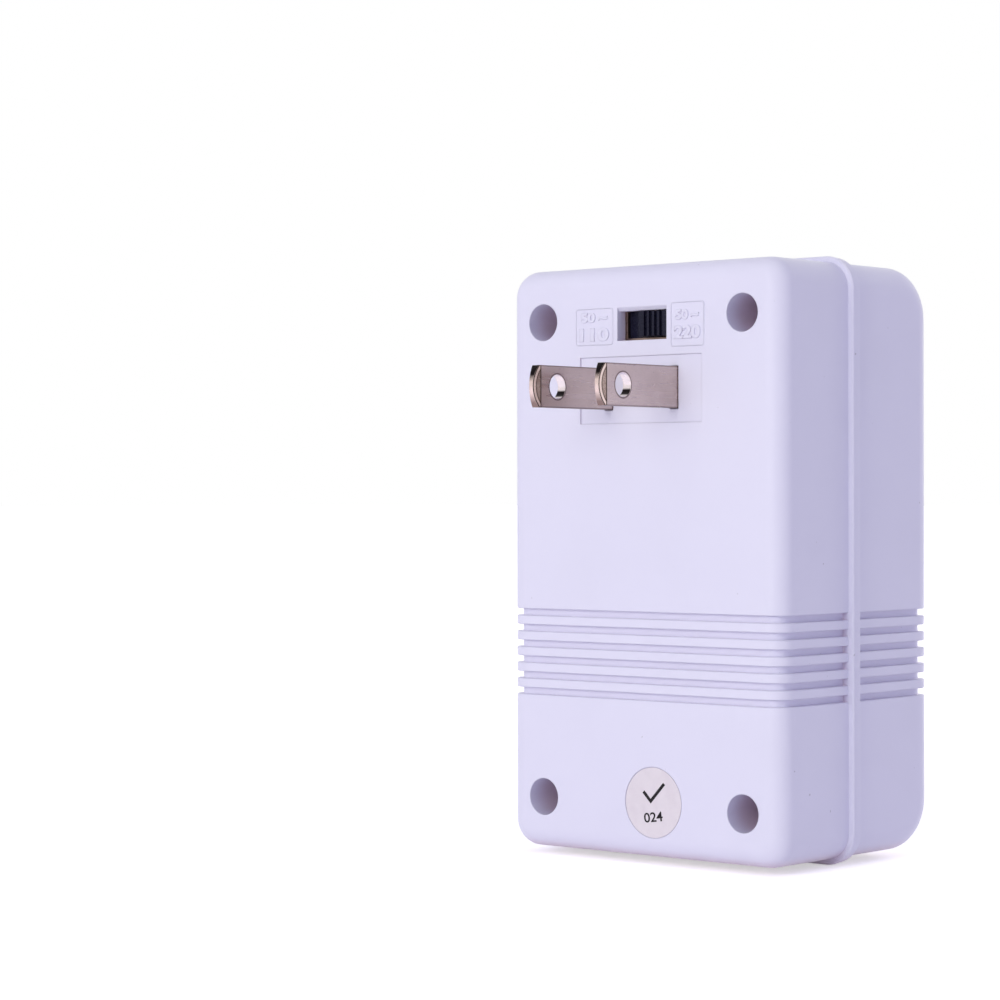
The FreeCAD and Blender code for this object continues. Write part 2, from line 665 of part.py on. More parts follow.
def side_slot(sketch, sign):
    """Opening of one live pin: a wide pin, a flat upright one and a slanted one."""
    corners = (
        ("Size.slot_outer", "Size.slot_upper"),
        ("Size.slot_outer", "Size.slot_lower"),
        ("Size.slot_step", "Size.slot_lower"),
        ("Size.slot_step", "Size.slot_bottom"),
        ("Size.slot_tip", "Size.slot_bottom"),
        ("Size.slot_tip", "Size.slot_tip_top"),
        ("Size.slot_inner", "Size.slot_tip_root"),
        ("Size.slot_inner", "Size.slot_top"),
        ("Size.slot_step", "Size.slot_top"),
        ("Size.slot_step", "Size.slot_shoulder"),
        ("Size.slot_ramp_head", "Size.slot_shoulder"),
        ("Size.slot_ramp_foot", "Size.slot_upper"),
    )
    outline(sketch, [(f"{sign}({x})", z) for x, z in corners])


def cut_socket(body):
    through = "4 * Size.front_depth"
    slots = new_sketch(body, "pin_slots")
    side_slot(slots, "-")
    side_slot(slots, "")
    circle(slots, "0", "-Size.led_z", "Size.led_radius + Size.led_gap")
    outline(slots, [
        ("-Size.earth_half_width", "Size.earth_top"),
        ("-Size.earth_half_width", "Size.earth_upper_z"),
        ("-Size.earth_funnel", "Size.earth_upper_z"),
        ("-Size.earth_funnel", "Size.earth_funnel_z"),
        ("-Size.earth_neck", "Size.earth_neck_z"),
        ("-Size.earth_neck", "Size.earth_lower_z"),
        ("-Size.earth_foot", "Size.earth_lower_z"),
        ("-Size.earth_foot", "Size.earth_bottom", "0.98 * Size.earth_foot"),
        ("Size.earth_foot", "Size.earth_bottom", "0.98 * Size.earth_foot"),
        ("Size.earth_foot", "Size.earth_lower_z"),
        ("Size.earth_neck", "Size.earth_lower_z"),
        ("Size.earth_neck", "Size.earth_neck_z"),
        ("Size.earth_funnel", "Size.earth_funnel_z"),
        ("Size.earth_funnel", "Size.earth_upper_z"),
        ("Size.earth_half_width", "Size.earth_upper_z"),
        ("Size.earth_half_width", "Size.earth_top"),
    ])
    cut(body, slots, through, both=True)
    for name in ("upper", "lower"):
        hole = new_sketch(body, f"earth_{name}_hole")
        circle(hole, "0", f"Size.earth_{name}_z", f"Size.earth_{name}_radius")
        cut(body, hole, through, both=True)


def add_front_posts(body):
    """Bosses for the screws and the collar behind the indicator."""
    root = f"{FRONT_INSIDE} + {ROOT_DEPTH}"
    bosses = new_sketch(body, "case_bosses", offset="Size.boss_gap")
    for x, z in SCREW_CENTRES:
        circle(bosses, x, z, "Size.boss_radius")
    pad(body, bosses, f"{root} - Size.boss_gap")
    pilots = new_sketch(body, "case_pilots", offset="Size.boss_gap")
    for x, z in SCREW_CENTRES:
        circle(pilots, x, z, "Size.case_screw_radius + Size.pilot_gap")
    reach = "Size.case_screw_length + Size.screw_well_depth - Size.rear_depth"
    cut(body, pilots, f"{reach} + Size.pilot_spare - Size.boss_gap", ahead=True)
    small = new_sketch(body, "carrier_bosses", offset=EAR_FRONT)
    holes = new_sketch(body, "carrier_pilots", offset=EAR_FRONT)
    for sign in ("-", ""):
        place = (f"{sign}Size.carrier_screw_x", "Size.carrier_screw_z")
        circle(small, *place, "Size.small_boss_radius")
        circle(holes, *place, "Size.small_screw_radius + Size.pilot_gap")
    pad(body, small, f"{root} - {EAR_FRONT}")
    deep = f"{RETAINER_BACK} + Size.carrier_screw_length - {EAR_FRONT} + Size.pilot_spare"
    cut(body, holes, deep, ahead=True)
    base = "Size.front_depth + Size.led_proud - Size.led_length + Size.led_flange_height"
    collar = new_sketch(body, "led_collar", offset=base)
    circle(collar, "0", "-Size.led_z", "Size.led_radius + Size.led_gap + Size.led_collar")
    circle(collar, "0", "-Size.led_z", "Size.led_radius + Size.led_gap")
    pad(body, collar, f"{root} - ({base})")


def core_ribs(body, name, seam_side, face_side, inside, front):
    """Ribs that press on the faces of the laminations, and ribs beside, under and over them."""
    leg = "(Size.core_width / 2 - Size.core_side / 2)"
    half = "Size.rib_thickness / 2"
    toward = "" if front else "-"
    press = new_sketch(body, name + "_press", offset=f"{toward}({face_side})")
    guides = new_sketch(body, name + "_guides", offset=f"{toward}({seam_side})")
    low = "-Size.core_bottom + Size.core_side / 4"
    high = f"{CORE_TOP} - Size.core_side / 4"
    side_in = "(Size.core_width / 2 + Size.core_gap)"
    side_out = f"({HALF_WIDTH} - Size.wall + {ROOT_DEPTH})"
    for sign in ("-", ""):
        rectangle(press, f"{sign}({leg} - {half})", f"{sign}({leg} + {half})", low, high)
        for level in ("0.25", "0.75"):
            z = f"(-Size.core_bottom + {level} * {CORE_HEIGHT})"
            rectangle(guides, f"{sign}{side_in}", f"{sign}{side_out}", f"{z} - {half}", f"{z} + {half}")
        under = "(-Size.core_bottom - Size.core_gap)"
        rectangle(
            guides,
            f"{sign}(Size.core_width / 2 - Size.core_side)",
            f"{sign}(Size.core_width / 2)",
            f"{under} - Size.rib_thickness",
            under,
        )
    root = f"({inside} + {ROOT_DEPTH})"
    pad(body, press, f"{root} - ({face_side})", back=not front)
    pad(body, guides, f"{root} - ({seam_side})", back=not front)


def front_cover():
    body = new_body("front_cover")
    side = new_sketch(body, "front_side", "YZ_Plane")
    rectangle(side, "-Size.front_depth", "0", f"-{HALF_HEIGHT}", HALF_HEIGHT)
    pad(body, side, "Size.case_width", both=True)
    front = -number("Size.front_depth")
    top = number(HALF_HEIGHT)
    flank = number(HALF_WIDTH)
    round_edges(body, "front_edges", "Size.front_edge_radius",
                lambda edge: lies(edge, y=front, z=top) or lies(edge, y=front, z=-top))
    round_edges(body, "front_flanks", "Size.corner_radius",
                lambda edge: (lies(edge, x=flank) or lies(edge, x=-flank)) and not lies(edge, y=0))
    cavity = new_sketch(body, "front_cavity", "YZ_Plane")
    roof = f"({HALF_HEIGHT} - Size.wall)"
    bend = "Size.front_edge_radius - Size.wall"
    outline(cavity, [
        (f"-{FRONT_INSIDE}", f"-{roof}", bend),
        ("Size.wall", f"-{roof}"),
        ("Size.wall", roof),
        (f"-{FRONT_INSIDE}", roof, bend),
    ])
    cut(body, cavity, "Size.case_width - 2 * Size.wall", both=True)
    low_bead = "(Size.bead_height - Size.bead_step)"
    pad(body, seam_ring(body, "front_bead", low_bead), "Size.bead_front")
    bevel_bead(body, "front_bead_edge", "Size.bead_bevel", "-Size.bead_front", low_bead)
    rebate_depth = "(Size.lip_height + Size.lip_gap)"
    rebate = new_sketch(body, "front_rebate", offset=rebate_depth)
    grow = "(Size.lip_thickness + Size.lip_gap - Size.wall)"
    centred_rectangle(
        rebate,
        f"{HALF_WIDTH} + {grow}",
        f"{HALF_HEIGHT} + {grow}",
        f"Size.corner_radius + {grow}",
    )
    cut(body, rebate, rebate_depth)
    cut_grooves(body, "Size.front_depth", "Size.bead_front", "Size.corner_radius", "-")
    cut_socket(body)
    badge = new_sketch(body, "front_panel", offset="Size.front_depth")
    rectangle(
        badge,
        "-Size.badge_half_width",
        "Size.badge_half_width",
        "-Size.badge_bottom",
        "-Size.badge_top",
    )
    cut(body, badge, "Size.panel_sink")
    add_front_posts(body)
    core_face = f"Size.core_stack / 2 - {CORE_MIDDLE}"
    core_ribs(body, "front_ribs", "Size.rib_clear + Size.lip_height", core_face, FRONT_INSIDE, True)
    finish_node(body, "front_cover")


def blade_slots(sketch, gap):
    """Openings for both blades, wider than a blade by gap on each side."""
    thick = f"(Size.blade_thickness / 2 + {gap})"
    high = f"(Size.blade_height / 2 + {gap})"
    for sign in ("-", ""):
        x = f"({sign}Size.blade_pitch / 2)"
        rectangle(
            sketch,
            f"{x} - {thick}",
            f"{x} + {thick}",
            f"Size.blade_z - {high}",
            f"Size.blade_z + {high}",
        )


def cut_rear_windows(body):
    through = "4 * Size.rear_depth"
    panel = new_sketch(body, "plug_panel", offset="-Size.rear_depth")
    rectangle(
        panel,
        "-Size.plug_half_width",
        "Size.plug_half_width",
        "Size.plug_bottom",
        "Size.plug_top",
    )
    cut(body, panel, "Size.panel_sink", ahead=True)
    windows = new_sketch(body, "rear_windows")
    blade_slots(windows, "Size.plug_gap")
    rectangle(windows, WINDOW_LEFT, WINDOW_RIGHT, WINDOW_BOTTOM, WINDOW_TOP)
    cut(body, windows, through, both=True)
    recess = new_sketch(body, "label_recess", offset="-Size.rear_depth")
    circle(recess, "Size.label_x", "-Size.label_z", "Size.label_radius + Size.label_gap")
    cut(body, recess, "Size.label_sink", ahead=True)
    rear = number("Size.rear_depth")
    top = number(WINDOW_TOP)
    bevel_edges(body, "window_bevel", "Size.window_bevel", lambda edge: lies(edge, y=rear, z=top))


def add_rear_posts(body):
    root = f"{REAR_INSIDE} + {ROOT_DEPTH}"
    posts = new_sketch(body, "case_posts", offset="-Size.boss_gap")
    wells = new_sketch(body, "screw_wells", offset="-Size.rear_depth")
    holes = new_sketch(body, "screw_holes")
    for x, z in SCREW_CENTRES:
        circle(posts, x, z, "Size.post_radius")
        circle(wells, x, z, "Size.screw_well_radius")
        circle(holes, x, z, "Size.screw_hole_radius")
    pad(body, posts, f"{root} - Size.boss_gap", back=True)
    cut(body, wells, "Size.screw_well_depth", ahead=True)
    cut(body, holes, "Size.rear_depth")
    bosses = new_sketch(body, "plug_bosses", offset=f"-{EAR_BACK}")
    pilots = new_sketch(body, "plug_pilots", offset=f"-{EAR_BACK}")
    for sign in ("-", ""):
        place = (f"{sign}Size.plug_screw_x", "Size.blade_z")
        circle(bosses, *place, "Size.small_boss_radius")
        circle(pilots, *place, "Size.small_screw_radius + Size.pilot_gap")
    pad(body, bosses, f"{root} - {EAR_BACK}", back=True)
    cut(body, pilots, "Size.plug_screw_length - Size.ear_thickness + Size.pilot_spare")
    stakes = new_sketch(body, "selector_stakes", offset=f"-({REAR_INSIDE} - Size.stake_height)")
    for sign in ("-", "+"):
        circle(stakes, f"Size.selector_x {sign} Size.stake_x", "Size.selector_z", "Size.stake_radius")
    pad(body, stakes, f"Size.stake_height + {ROOT_DEPTH}", back=True)


def rear_cover():
    body = new_body("rear_cover")
    face = new_sketch(body, "rear_face")
    centred_rectangle(face, HALF_WIDTH, HALF_HEIGHT, "Size.corner_radius")
    pad(body, face, "Size.rear_depth", back=True)
    rear = number("Size.rear_depth")
    round_edges(body, "rear_edges", "Size.rear_edge_radius", lambda edge: lies(edge, y=rear))
    cavity = new_sketch(body, "rear_cavity")
    centred_rectangle(
        cavity,
        f"{HALF_WIDTH} - Size.wall",
        f"{HALF_HEIGHT} - Size.wall",
        "Size.corner_radius - Size.wall",
    )
    cut(body, cavity, REAR_INSIDE)
    pad(body, seam_ring(body, "rear_bead", "Size.bead_height"), "Size.bead_rear", back=True)
    bevel_bead(body, "rear_bead_edge", "Size.bead_bevel", "Size.bead_rear")
    bevel_bead(body, "parting_edge", "Size.parting_bevel", "0")
    lip = new_sketch(body, "rear_lip", offset="-Size.wall / 2")
    for grow in ("(Size.lip_thickness - Size.wall)", "(-Size.wall)"):
        centred_rectangle(
            lip,
            f"{HALF_WIDTH} + {grow}",
            f"{HALF_HEIGHT} + {grow}",
            f"Size.corner_radius + {grow}",
        )
    pad(body, lip, "Size.wall / 2 + Size.lip_height")
    cut_grooves(body, "Size.rear_depth", "Size.bead_rear", "Size.rear_edge_radius", "")
    cut_rear_windows(body)
    add_rear_posts(body)
    core_face = f"Size.core_stack / 2 + {CORE_MIDDLE}"
    core_ribs(body, "rear_ribs", "Size.rib_clear", core_face, REAR_INSIDE, False)
    finish_node(body, "rear_cover")


# Screws

def screw(name, radius, length, head_radius, head_height, x, y, z, toward):
    """A pan-head screw along Y, its head's seat at y and its shank toward '-' or '+'."""
    back = toward == "-"
    shank = rod(name + "_shank", radius, length, x, f"{y} - {length}" if back else y, z, "y")
    head_y = y if back else f"{y} - {head_height}"
    head = rod(name + "_head", head_radius, head_height, x, head_y, z, "y")
    whole = joined(name + "_blank", [shank, head])
    slot = f"{head_height} / 2"
    near = f"{y} + {slot}" if back else f"{y} - {head_height} - {slot}"
    far = f"{y} + 2 * {head_height}" if back else f"{y} - {slot}"
    arm = f"0.6 * {head_radius}"
    thin = f"0.13 * {head_radius}"
    cross = joined(name + "_cross", [
        box(name + "_cross_x", f"{x} - {arm}", f"{x} + {arm}",
            near, far, f"{z} - {thin}", f"{z} + {thin}"),
        box(name + "_cross_z", f"{x} - {thin}", f"{x} + {thin}",
            near, far, f"{z} - {arm}", f"{z} + {arm}"),
    ])
    return taken_from(name, whole, cross)


def case_screws():
    seat = "(Size.rear_depth - Size.screw_well_depth)"
    items = []
    for index, (x, z) in enumerate(SCREW_CENTRES, 1):
        items.append(screw(
            f"case_screw_{index}", "Size.case_screw_radius", "Size.case_screw_length",
            "Size.case_screw_head_radius", "Size.case_screw_head_height", x, seat, z, "-",
        ))
    finish_node(grouped("case_screw_set", items), "case_screws")


def carrier_screws():
    items = []
    for sign in ("-", ""):
        items.append(screw(
            "carrier_screw", "Size.small_screw_radius", "Size.carrier_screw_length",
            "Size.small_screw_head_radius", "Size.small_screw_head_height",
            f"{sign}Size.carrier_screw_x", f"(-{RETAINER_BACK})", "Size.carrier_screw_z", "-",
        ))
    finish_node(grouped("carrier_screw_set", items), "carrier_screws")


def plug_base_screws():
    items = []
    for sign in ("-", ""):
        items.append(screw(
            "plug_screw", "Size.small_screw_radius", "Size.plug_screw_length",
            "Size.small_screw_head_radius", "Size.small_screw_head_height",
            f"{sign}Size.plug_screw_x", f"({EAR_BACK} - Size.ear_thickness)", "Size.blade_z", "+",
        ))
    finish_node(grouped("plug_screw_set", items), "plug_base_screws")


# Socket

def carrier_outline(sketch, shrink, with_ears):
    wide = f"(Size.carrier_half_width - {shrink})"
    neck = f"(Size.carrier_neck - {shrink})"
    low = f"(Size.carrier_low + {shrink})"
    step = "Size.carrier_step"
    top = f"(Size.carrier_top - {shrink})"
    rounding = "Size.carrier_rounding"
    right = [
        (wide, low, rounding),
        (wide, step, rounding),
    ]
    if with_ears:
        right += [
            ("Size.ear_reach", step),
            ("Size.ear_reach", "Size.ear_top", rounding),
            (neck, "Size.ear_top"),
        ]
    else:
        right += [(neck, step)]
    right += [(neck, top, rounding)]
    left = [(f"-{corner[0]}",) + corner[1:] for corner in reversed(right)]
    outline(sketch, right + left)


def socket_carrier():
    body = new_body("socket_carrier")
    block = new_sketch(body, "carrier_block", offset=CARRIER_BACK)
    carrier_outline(block, "0", False)
    pad(body, block, "Size.carrier_depth")
    ears = new_sketch(body, "carrier_ears", offset=CARRIER_BACK)
    carrier_outline(ears, "0", True)
    pad(body, ears, "Size.ear_thickness")
    chambers = new_sketch(body, "contact_chambers", offset=CARRIER_BACK)
    margin = "Size.chamber_margin"
    for sign in ("-", ""):
        rectangle(
            chambers,
            f"{sign}(Size.slot_tip - {margin})",
            f"{sign}(Size.slot_outer + {margin})",
            f"Size.slot_bottom - {margin}",
            f"Size.slot_top + {margin}",
        )
    rectangle(
        chambers,
        f"-(Size.earth_upper_radius + {margin})",
        f"Size.earth_upper_radius + {margin}",
        "Size.earth_bottom",
        f"Size.earth_top + {margin}",
    )
    cut(body, chambers, "Size.carrier_depth", ahead=True)
    holes = new_sketch(body, "carrier_holes", offset=CARRIER_BACK)
    for sign in ("-", ""):
        circle(holes, f"{sign}Size.carrier_screw_x", "Size.carrier_screw_z", "Size.small_screw_hole")
    cut(body, holes, "Size.ear_thickness", ahead=True)
    crown = new_sketch(body, "carrier_crown", "YZ_Plane")
    roof = f"({HALF_HEIGHT} - Size.wall - Size.carrier_gap)"
    past = "2 * Size.front_edge_radius"
    outline(crown, [
        (f"-{CARRIER_FRONT}", f"{HALF_HEIGHT} - Size.front_edge_radius - Size.wall"),
        (f"-{CARRIER_FRONT}", roof, "Size.front_edge_radius - Size.wall - Size.carrier_gap"),
        (f"-{CARRIER_FRONT} + {past}", roof),
        (f"-{CARRIER_FRONT} + {past}", f"{roof} + Size.wall"),
        (f"-{CARRIER_FRONT} - Size.wall", f"{roof} + Size.wall"),
        (f"-{CARRIER_FRONT} - Size.wall", f"{HALF_HEIGHT} - Size.front_edge_radius - Size.wall"),
    ])
    trim(body, crown, "4 * Size.carrier_neck", both=True)
    finish_node(body, "socket_carrier")


def contact_retainer():
    body = new_body("contact_retainer")
    plate = new_sketch(body, "retainer_plate", offset=RETAINER_BACK)
    carrier_outline(plate, "Size.retainer_margin", True)
    pad(body, plate, "Size.retainer_thickness")
    holes = new_sketch(body, "retainer_holes", offset=RETAINER_BACK)
    for sign in ("-", ""):
        circle(holes, f"{sign}Size.carrier_screw_x", "Size.carrier_screw_z", "Size.small_screw_hole")
        rectangle(
            holes,
            f"{sign}(Size.wide_pin_x - 0.6 * Size.wide_leaf_width)",
            f"{sign}(Size.wide_pin_x + 0.6 * Size.wide_leaf_width)",
            "Size.spine_low - Size.contact_sheet / 2",
            "Size.spine_low + 3 * Size.contact_sheet",
        )
    cut(body, holes, "Size.retainer_thickness", ahead=True)
    finish_node(body, "contact_retainer")


def leaf_points(root, pinch, mouth):
    """Depth and offset of a leaf from its spine to its mouth, drawn in between them."""
    face = -number("Size.front_depth")
    spine = -number(SPINE_MIDDLE)
    deep = face + number("Size.contact_pinch")
    near = face + number("Size.contact_mouth") + number("Size.contact_sheet") / 2
    half = (spine + deep) / 2
    return [
        (spine, number(root)),
        (half, number(root) * 0.7 + number(pinch) * 0.3),
        (deep, number(pinch)),
        (near, number(mouth)),
    ]


def side_contact(label, sign):
    """Copper contact of one live pin: two leaves for the wide pin and one for the flat pin."""
    thick = number("Size.contact_sheet")
    pin_x = sign * number("Size.wide_pin_x")
    pin_z = number("Size.wide_pin_z")
    width = number("Size.wide_leaf_width")
    spine_back = -number(CARRIER_BACK)
    wide_leaf = leaf_points("Size.wide_leaf_root", "Size.wide_leaf_pinch", "Size.wide_leaf_mouth")
    parts = []
    for side in (1, -1):
        points = []
        for y, reach in wide_leaf:
            points.append(Vector(pin_x, y, pin_z + side * reach))
        parts.append(strip(points, thick, width, Vector(1, 0, 0)))
    low = number("Size.flat_leaf_low")
    high = number("Size.flat_leaf_high")
    points = []
    for y, reach in leaf_points("Size.flat_leaf_x", "Size.flat_leaf_pinch", "Size.flat_leaf_x"):
        points.append(Vector(sign * reach, y, (low + high) / 2))
    parts.append(strip(points, thick, high - low, Vector(0, 0, 1)))
    bottom = number("Size.spine_low")
    height = number("Size.spine_high") - bottom
    parts.append(Part.makeBox(width, thick, height, Vector(pin_x - width / 2, spine_back, bottom)))
    inner = number("Size.flat_leaf_x") - thick / 2
    outer = abs(pin_x)
    start = inner if sign > 0 else -outer
    parts.append(Part.makeBox(outer - inner, thick, high - low, Vector(start, spine_back, low)))
    tab = number("Size.tab_length")
    parts.append(Part.makeBox(width * 0.7, tab, thick, Vector(pin_x - width * 0.35, spine_back, bottom)))
    shape = parts[0].fuse(parts[1:]).removeSplitter()
    finish_node(fixed_shape(label + "_sheet", shape), label)


def earth_contact():
    """Copper earth contact: two pairs of leaves on one spine."""
    thick = number("Size.contact_sheet")
    spine_back = -number(CARRIER_BACK)
    pairs = (
        (number("Size.earth_leaf_low"), number("Size.earth_leaf_slit_low")),
        (number("Size.earth_leaf_slit_high"), number("Size.earth_leaf_high")),
    )
    leaf = leaf_points("Size.earth_leaf_root", "Size.earth_leaf_pinch", "Size.earth_leaf_mouth")
    parts = []
    for low, high in pairs:
        for side in (1, -1):
            points = []
            for y, reach in leaf:
                points.append(Vector(side * reach, y, (low + high) / 2))
            parts.append(strip(points, thick, high - low, Vector(0, 0, 1)))
    root = number("Size.earth_leaf_root") + thick / 2
    low = pairs[0][0]
    high = pairs[1][1]
    parts.append(Part.makeBox(2 * root, thick, high - low, Vector(-root, spine_back, low)))
    bar = number("Size.earth_bar")
    middle = (pairs[0][1] + pairs[1][0]) / 2
    parts.append(Part.makeBox(2 * bar, thick, 4, Vector(-bar, spine_back, middle - 2)))
    shape = parts[0].fuse(parts[1:]).removeSplitter()
    finish_node(fixed_shape("earth_sheet", shape), "contact_earth")


# Plug

def plug_base():
    body = new_body("plug_base")
    rim = "Size.plug_flange_rim"
    flange = new_sketch(body, "plug_flange", offset=f"-{REAR_INSIDE}")
    rectangle(
        flange,
        "-Size.plug_flange_x",
        "Size.plug_flange_x",
        f"Size.plug_bottom - {rim}",
        f"Size.plug_top + {rim}",
    )
    pad(body, flange, "Size.plug_flange_depth")
    block = new_sketch(body, "plug_block", offset=f"-{BLOCK_FACE}")
    rectangle(
        block,
        "-Size.plug_block_x",
        "Size.plug_block_x",
        "Size.plug_bottom",
        "Size.plug_top",
        "Size.carrier_rounding",
    )
    pad(body, block, "Size.plug_block_depth", back=True)
    ears = new_sketch(body, "plug_ears", offset=f"-({EAR_BACK} - Size.ear_thickness)")
    rectangle(
        ears,
        "-Size.plug_ear_x",
        "Size.plug_ear_x",
        "Size.blade_z - Size.plug_ear_half_height",
        "Size.blade_z + Size.plug_ear_half_height",
        "Size.carrier_rounding",
    )
    pad(body, ears, "Size.ear_thickness", back=True)
    holes = new_sketch(body, "plug_holes")
    for sign in ("-", ""):
        circle(holes, f"{sign}Size.plug_screw_x", "Size.blade_z", "Size.small_screw_hole")
    blade_slots(holes, "Size.blade_gap")
    cut(body, holes, "2 * Size.rear_depth")
    finish_node(body, "plug_base")


def plug_blade(label, sign):
    """Flat blade along +Y from the plug base, with a shoulder and a solder tail behind it."""
    body = new_body(label)
    side = new_sketch(body, label + "_side", "YZ_Plane")
    half = "(Size.blade_height / 2)"
    tip = "(Size.rear_depth + Size.blade_length)"
    tip_corner = f"({tip} - Size.blade_tip_bow + sqrt(Size.blade_tip_bow ^ 2 - {half} ^ 2))"
    tail = "(Size.blade_tail_height / 2)"
    shoulder = "(Size.blade_shoulder_height / 2)"
    shoulder_back = f"({BLOCK_FACE} - Size.blade_shoulder_depth)"
    end = f"({shoulder_back} - Size.blade_tail_length)"
    upper = [
        (tip_corner, half),
        (BLOCK_FACE, half),
        (BLOCK_FACE, shoulder),
        (shoulder_back, shoulder),
        (shoulder_back, tail),
        (end, tail),
    ]
    lower = [(corner[0], f"-{corner[1]}") + corner[2:] for corner in reversed(upper)]
    outline(side, upper + lower, bow="Size.blade_tip_bow")
    pad(body, side, "Size.blade_thickness", both=True)
    wedge = new_sketch(body, label + "_wedge", "XY_Plane")
    flat = "(Size.blade_thickness / 2)"
    past = f"{tip} + Size.blade_thickness"
    for turn in ("-", ""):
        outline(wedge, [
            (f"{turn}{flat}", f"{tip} - Size.blade_wedge_length"),
            (f"{turn}({flat} - Size.blade_wedge_depth)", tip),
            (f"{turn}({flat} - Size.blade_wedge_depth)", past),
            (f"{turn}2 * {flat}", past),
            (f"{turn}2 * {flat}", f"{tip} - Size.blade_wedge_length"),
        ])
    cut(body, wedge, "2 * Size.blade_height", both=True)
    hole = new_sketch(body, label + "_hole", "YZ_Plane")
    circle(hole, "Size.rear_depth + Size.blade_hole_reach", "0", "Size.blade_hole_radius")
    circle(hole, f"{end} + Size.blade_tail_height / 2", "0", "Size.wire_radius")
    cut(body, hole, "2 * Size.blade_thickness", both=True)
    finish_node(body, label, x=f"{sign}Size.blade_pitch / 2", z="Size.blade_z")


# Selector

def selector_frame():
    body = new_body("selector_frame")
    plate = new_sketch(body, "frame_plate", offset=f"-({REAR_INSIDE} - Size.frame_sheet)")
    ear = "Size.frame_ear_half_height"
    right = [
        ("Size.frame_half_length", "-Size.frame_half_height"),
        ("Size.frame_half_length", f"-{ear}"),
        ("Size.frame_ear_reach", f"-{ear}", "Size.carrier_rounding"),
        ("Size.frame_ear_reach", ear, "Size.carrier_rounding"),
        ("Size.frame_half_length", ear),
        ("Size.frame_half_length", "Size.frame_half_height"),
    ]
    left = [(f"-{corner[0]}",) + corner[1:] for corner in reversed(right)]
    outline(plate, right + left)
    centred_rectangle(plate, "Size.selector_slot / 2", "Size.selector_slot_height / 2")
    for sign in ("-", ""):
        circle(plate, f"{sign}Size.stake_x", "0", "Size.stake_radius + Size.stake_gap")
    pad(body, plate, "Size.frame_sheet", back=True)
    legs = new_sketch(body, "frame_legs", offset=f"-({REAR_INSIDE} - Size.frame_sheet)")
    tabs = new_sketch(body, "frame_tabs", offset=f"-({BOARD_FACE} - Size.board_thickness)")
    inner = "(Size.frame_half_height - Size.frame_sheet)"
    for sign in ("-", ""):
        rectangle(
            legs,
            "-Size.frame_half_length",
            "Size.frame_half_length",
            f"{sign}{inner}",
            f"{sign}Size.frame_half_height",
        )
        for side in ("-", ""):
            rectangle(
                tabs,
                f"{side}0.6 * Size.frame_half_length",
                f"{side}0.85 * Size.frame_half_length",
                f"{sign}({inner} - 1.2 * Size.frame_sheet)",
                f"{sign}Size.frame_half_height",
            )
    pad(body, legs, "Size.board_depth + Size.board_thickness - Size.frame_sheet")
    pad(body, tabs, "Size.frame_sheet")
    finish_node(body, "selector_frame", x="Size.selector_x", z="Size.selector_z")


def terminal_places():
    for row in ("-", ""):
        for column in (-1, 0, 1):
            yield f"({column} * Size.slider_travel)", f"({row}Size.bridge_row)"


def selector_board():
    body = new_body("selector_board")
    board = new_sketch(body, "board_outline", offset=f"-({BOARD_FACE} - Size.board_thickness)")
    centred_rectangle(
        board,
        "Size.frame_half_length",
        "Size.frame_half_height - Size.frame_sheet - Size.board_gap",
    )
    width = "(Size.terminal_width / 2 + Size.board_gap)"
    height = "(Size.terminal_sheet / 2 + Size.board_gap)"
    for x, z in terminal_places():
        rectangle(board, f"{x} - {width}", f"{x} + {width}", f"{z} - {height}", f"{z} + {height}")
    pad(body, board, "Size.board_thickness", back=True)
    finish_node(body, "selector_board", x="Size.selector_x", z="Size.selector_z")


def selector_terminals():
    items = []
    under = f"({BOARD_FACE} - Size.board_thickness - Size.terminal_length)"
    half = "Size.terminal_width / 2"
    thin = "Size.terminal_sheet / 2"
    for x, z in terminal_places():
        pin = box(
            "terminal_pin", f"{x} - {half}", f"{x} + {half}",
            under, BOARD_FACE, f"{z} - {thin}", f"{z} + {thin}",
        )
        top = f"{BOARD_FACE} + Size.terminal_head"
        head = box(
            "terminal_head", f"{x} - 1.3 * {half}", f"{x} + 1.3 * {half}",
            BOARD_FACE, top, f"{z} - {half}", f"{z} + {half}",
        )
        items.append(joined("terminal", [pin, head]))
    pins = grouped("terminal_set", items)
    finish_node(pins, "selector_terminals", x="Size.selector_x", z="Size.selector_z")


def selector_slider():
    body = new_body("selector_slider")
    plate = new_sketch(body, "slider_plate", offset=f"-{SLIDER_FACE}")
    half_height = "(Size.frame_half_height - Size.frame_sheet - Size.slider_gap)"
    centred_rectangle(plate, "Size.slider_half_length", half_height)
    pad(body, plate, "Size.slider_thickness")
    knob = new_sketch(body, "slider_knob", offset=f"-{SLIDER_FACE}")
    centred_rectangle(knob, "Size.knob_width / 2", "Size.knob_height / 2")
    pad(body, knob, f"Size.rear_depth - Size.knob_sink - {SLIDER_FACE}", back=True)
    foot = new_sketch(body, "slider_foot", offset=f"-{FOOT_FACE}")
    centred_rectangle(foot, "Size.slider_foot_half_width", "Size.bridge_row + Size.bridge_width / 2")
    pad(body, foot, "Size.slider_foot_height", back=True)
    pitch = "((Size.knob_width - Size.knob_groove_width) / Size.knob_ridges)"
    groove = new_sketch(body, "knob_groove", offset="-(Size.rear_depth - Size.knob_sink)")
    first = f"(-{pitch} * (Size.knob_ridges - 2) / 2)"
    half = "Size.knob_groove_width / 2"
    rectangle(groove, f"{first} - {half}", f"{first} + {half}", "-Size.knob_height", "Size.knob_height")
    channel = cut(body, groove, "Size.knob_groove_depth", ahead=True)
    repeat(body, channel, "X_Axis", pitch, "Size.knob_ridges - 1")
    finish_node(body, "selector_slider", x=SLIDER_REST, z="Size.selector_z")


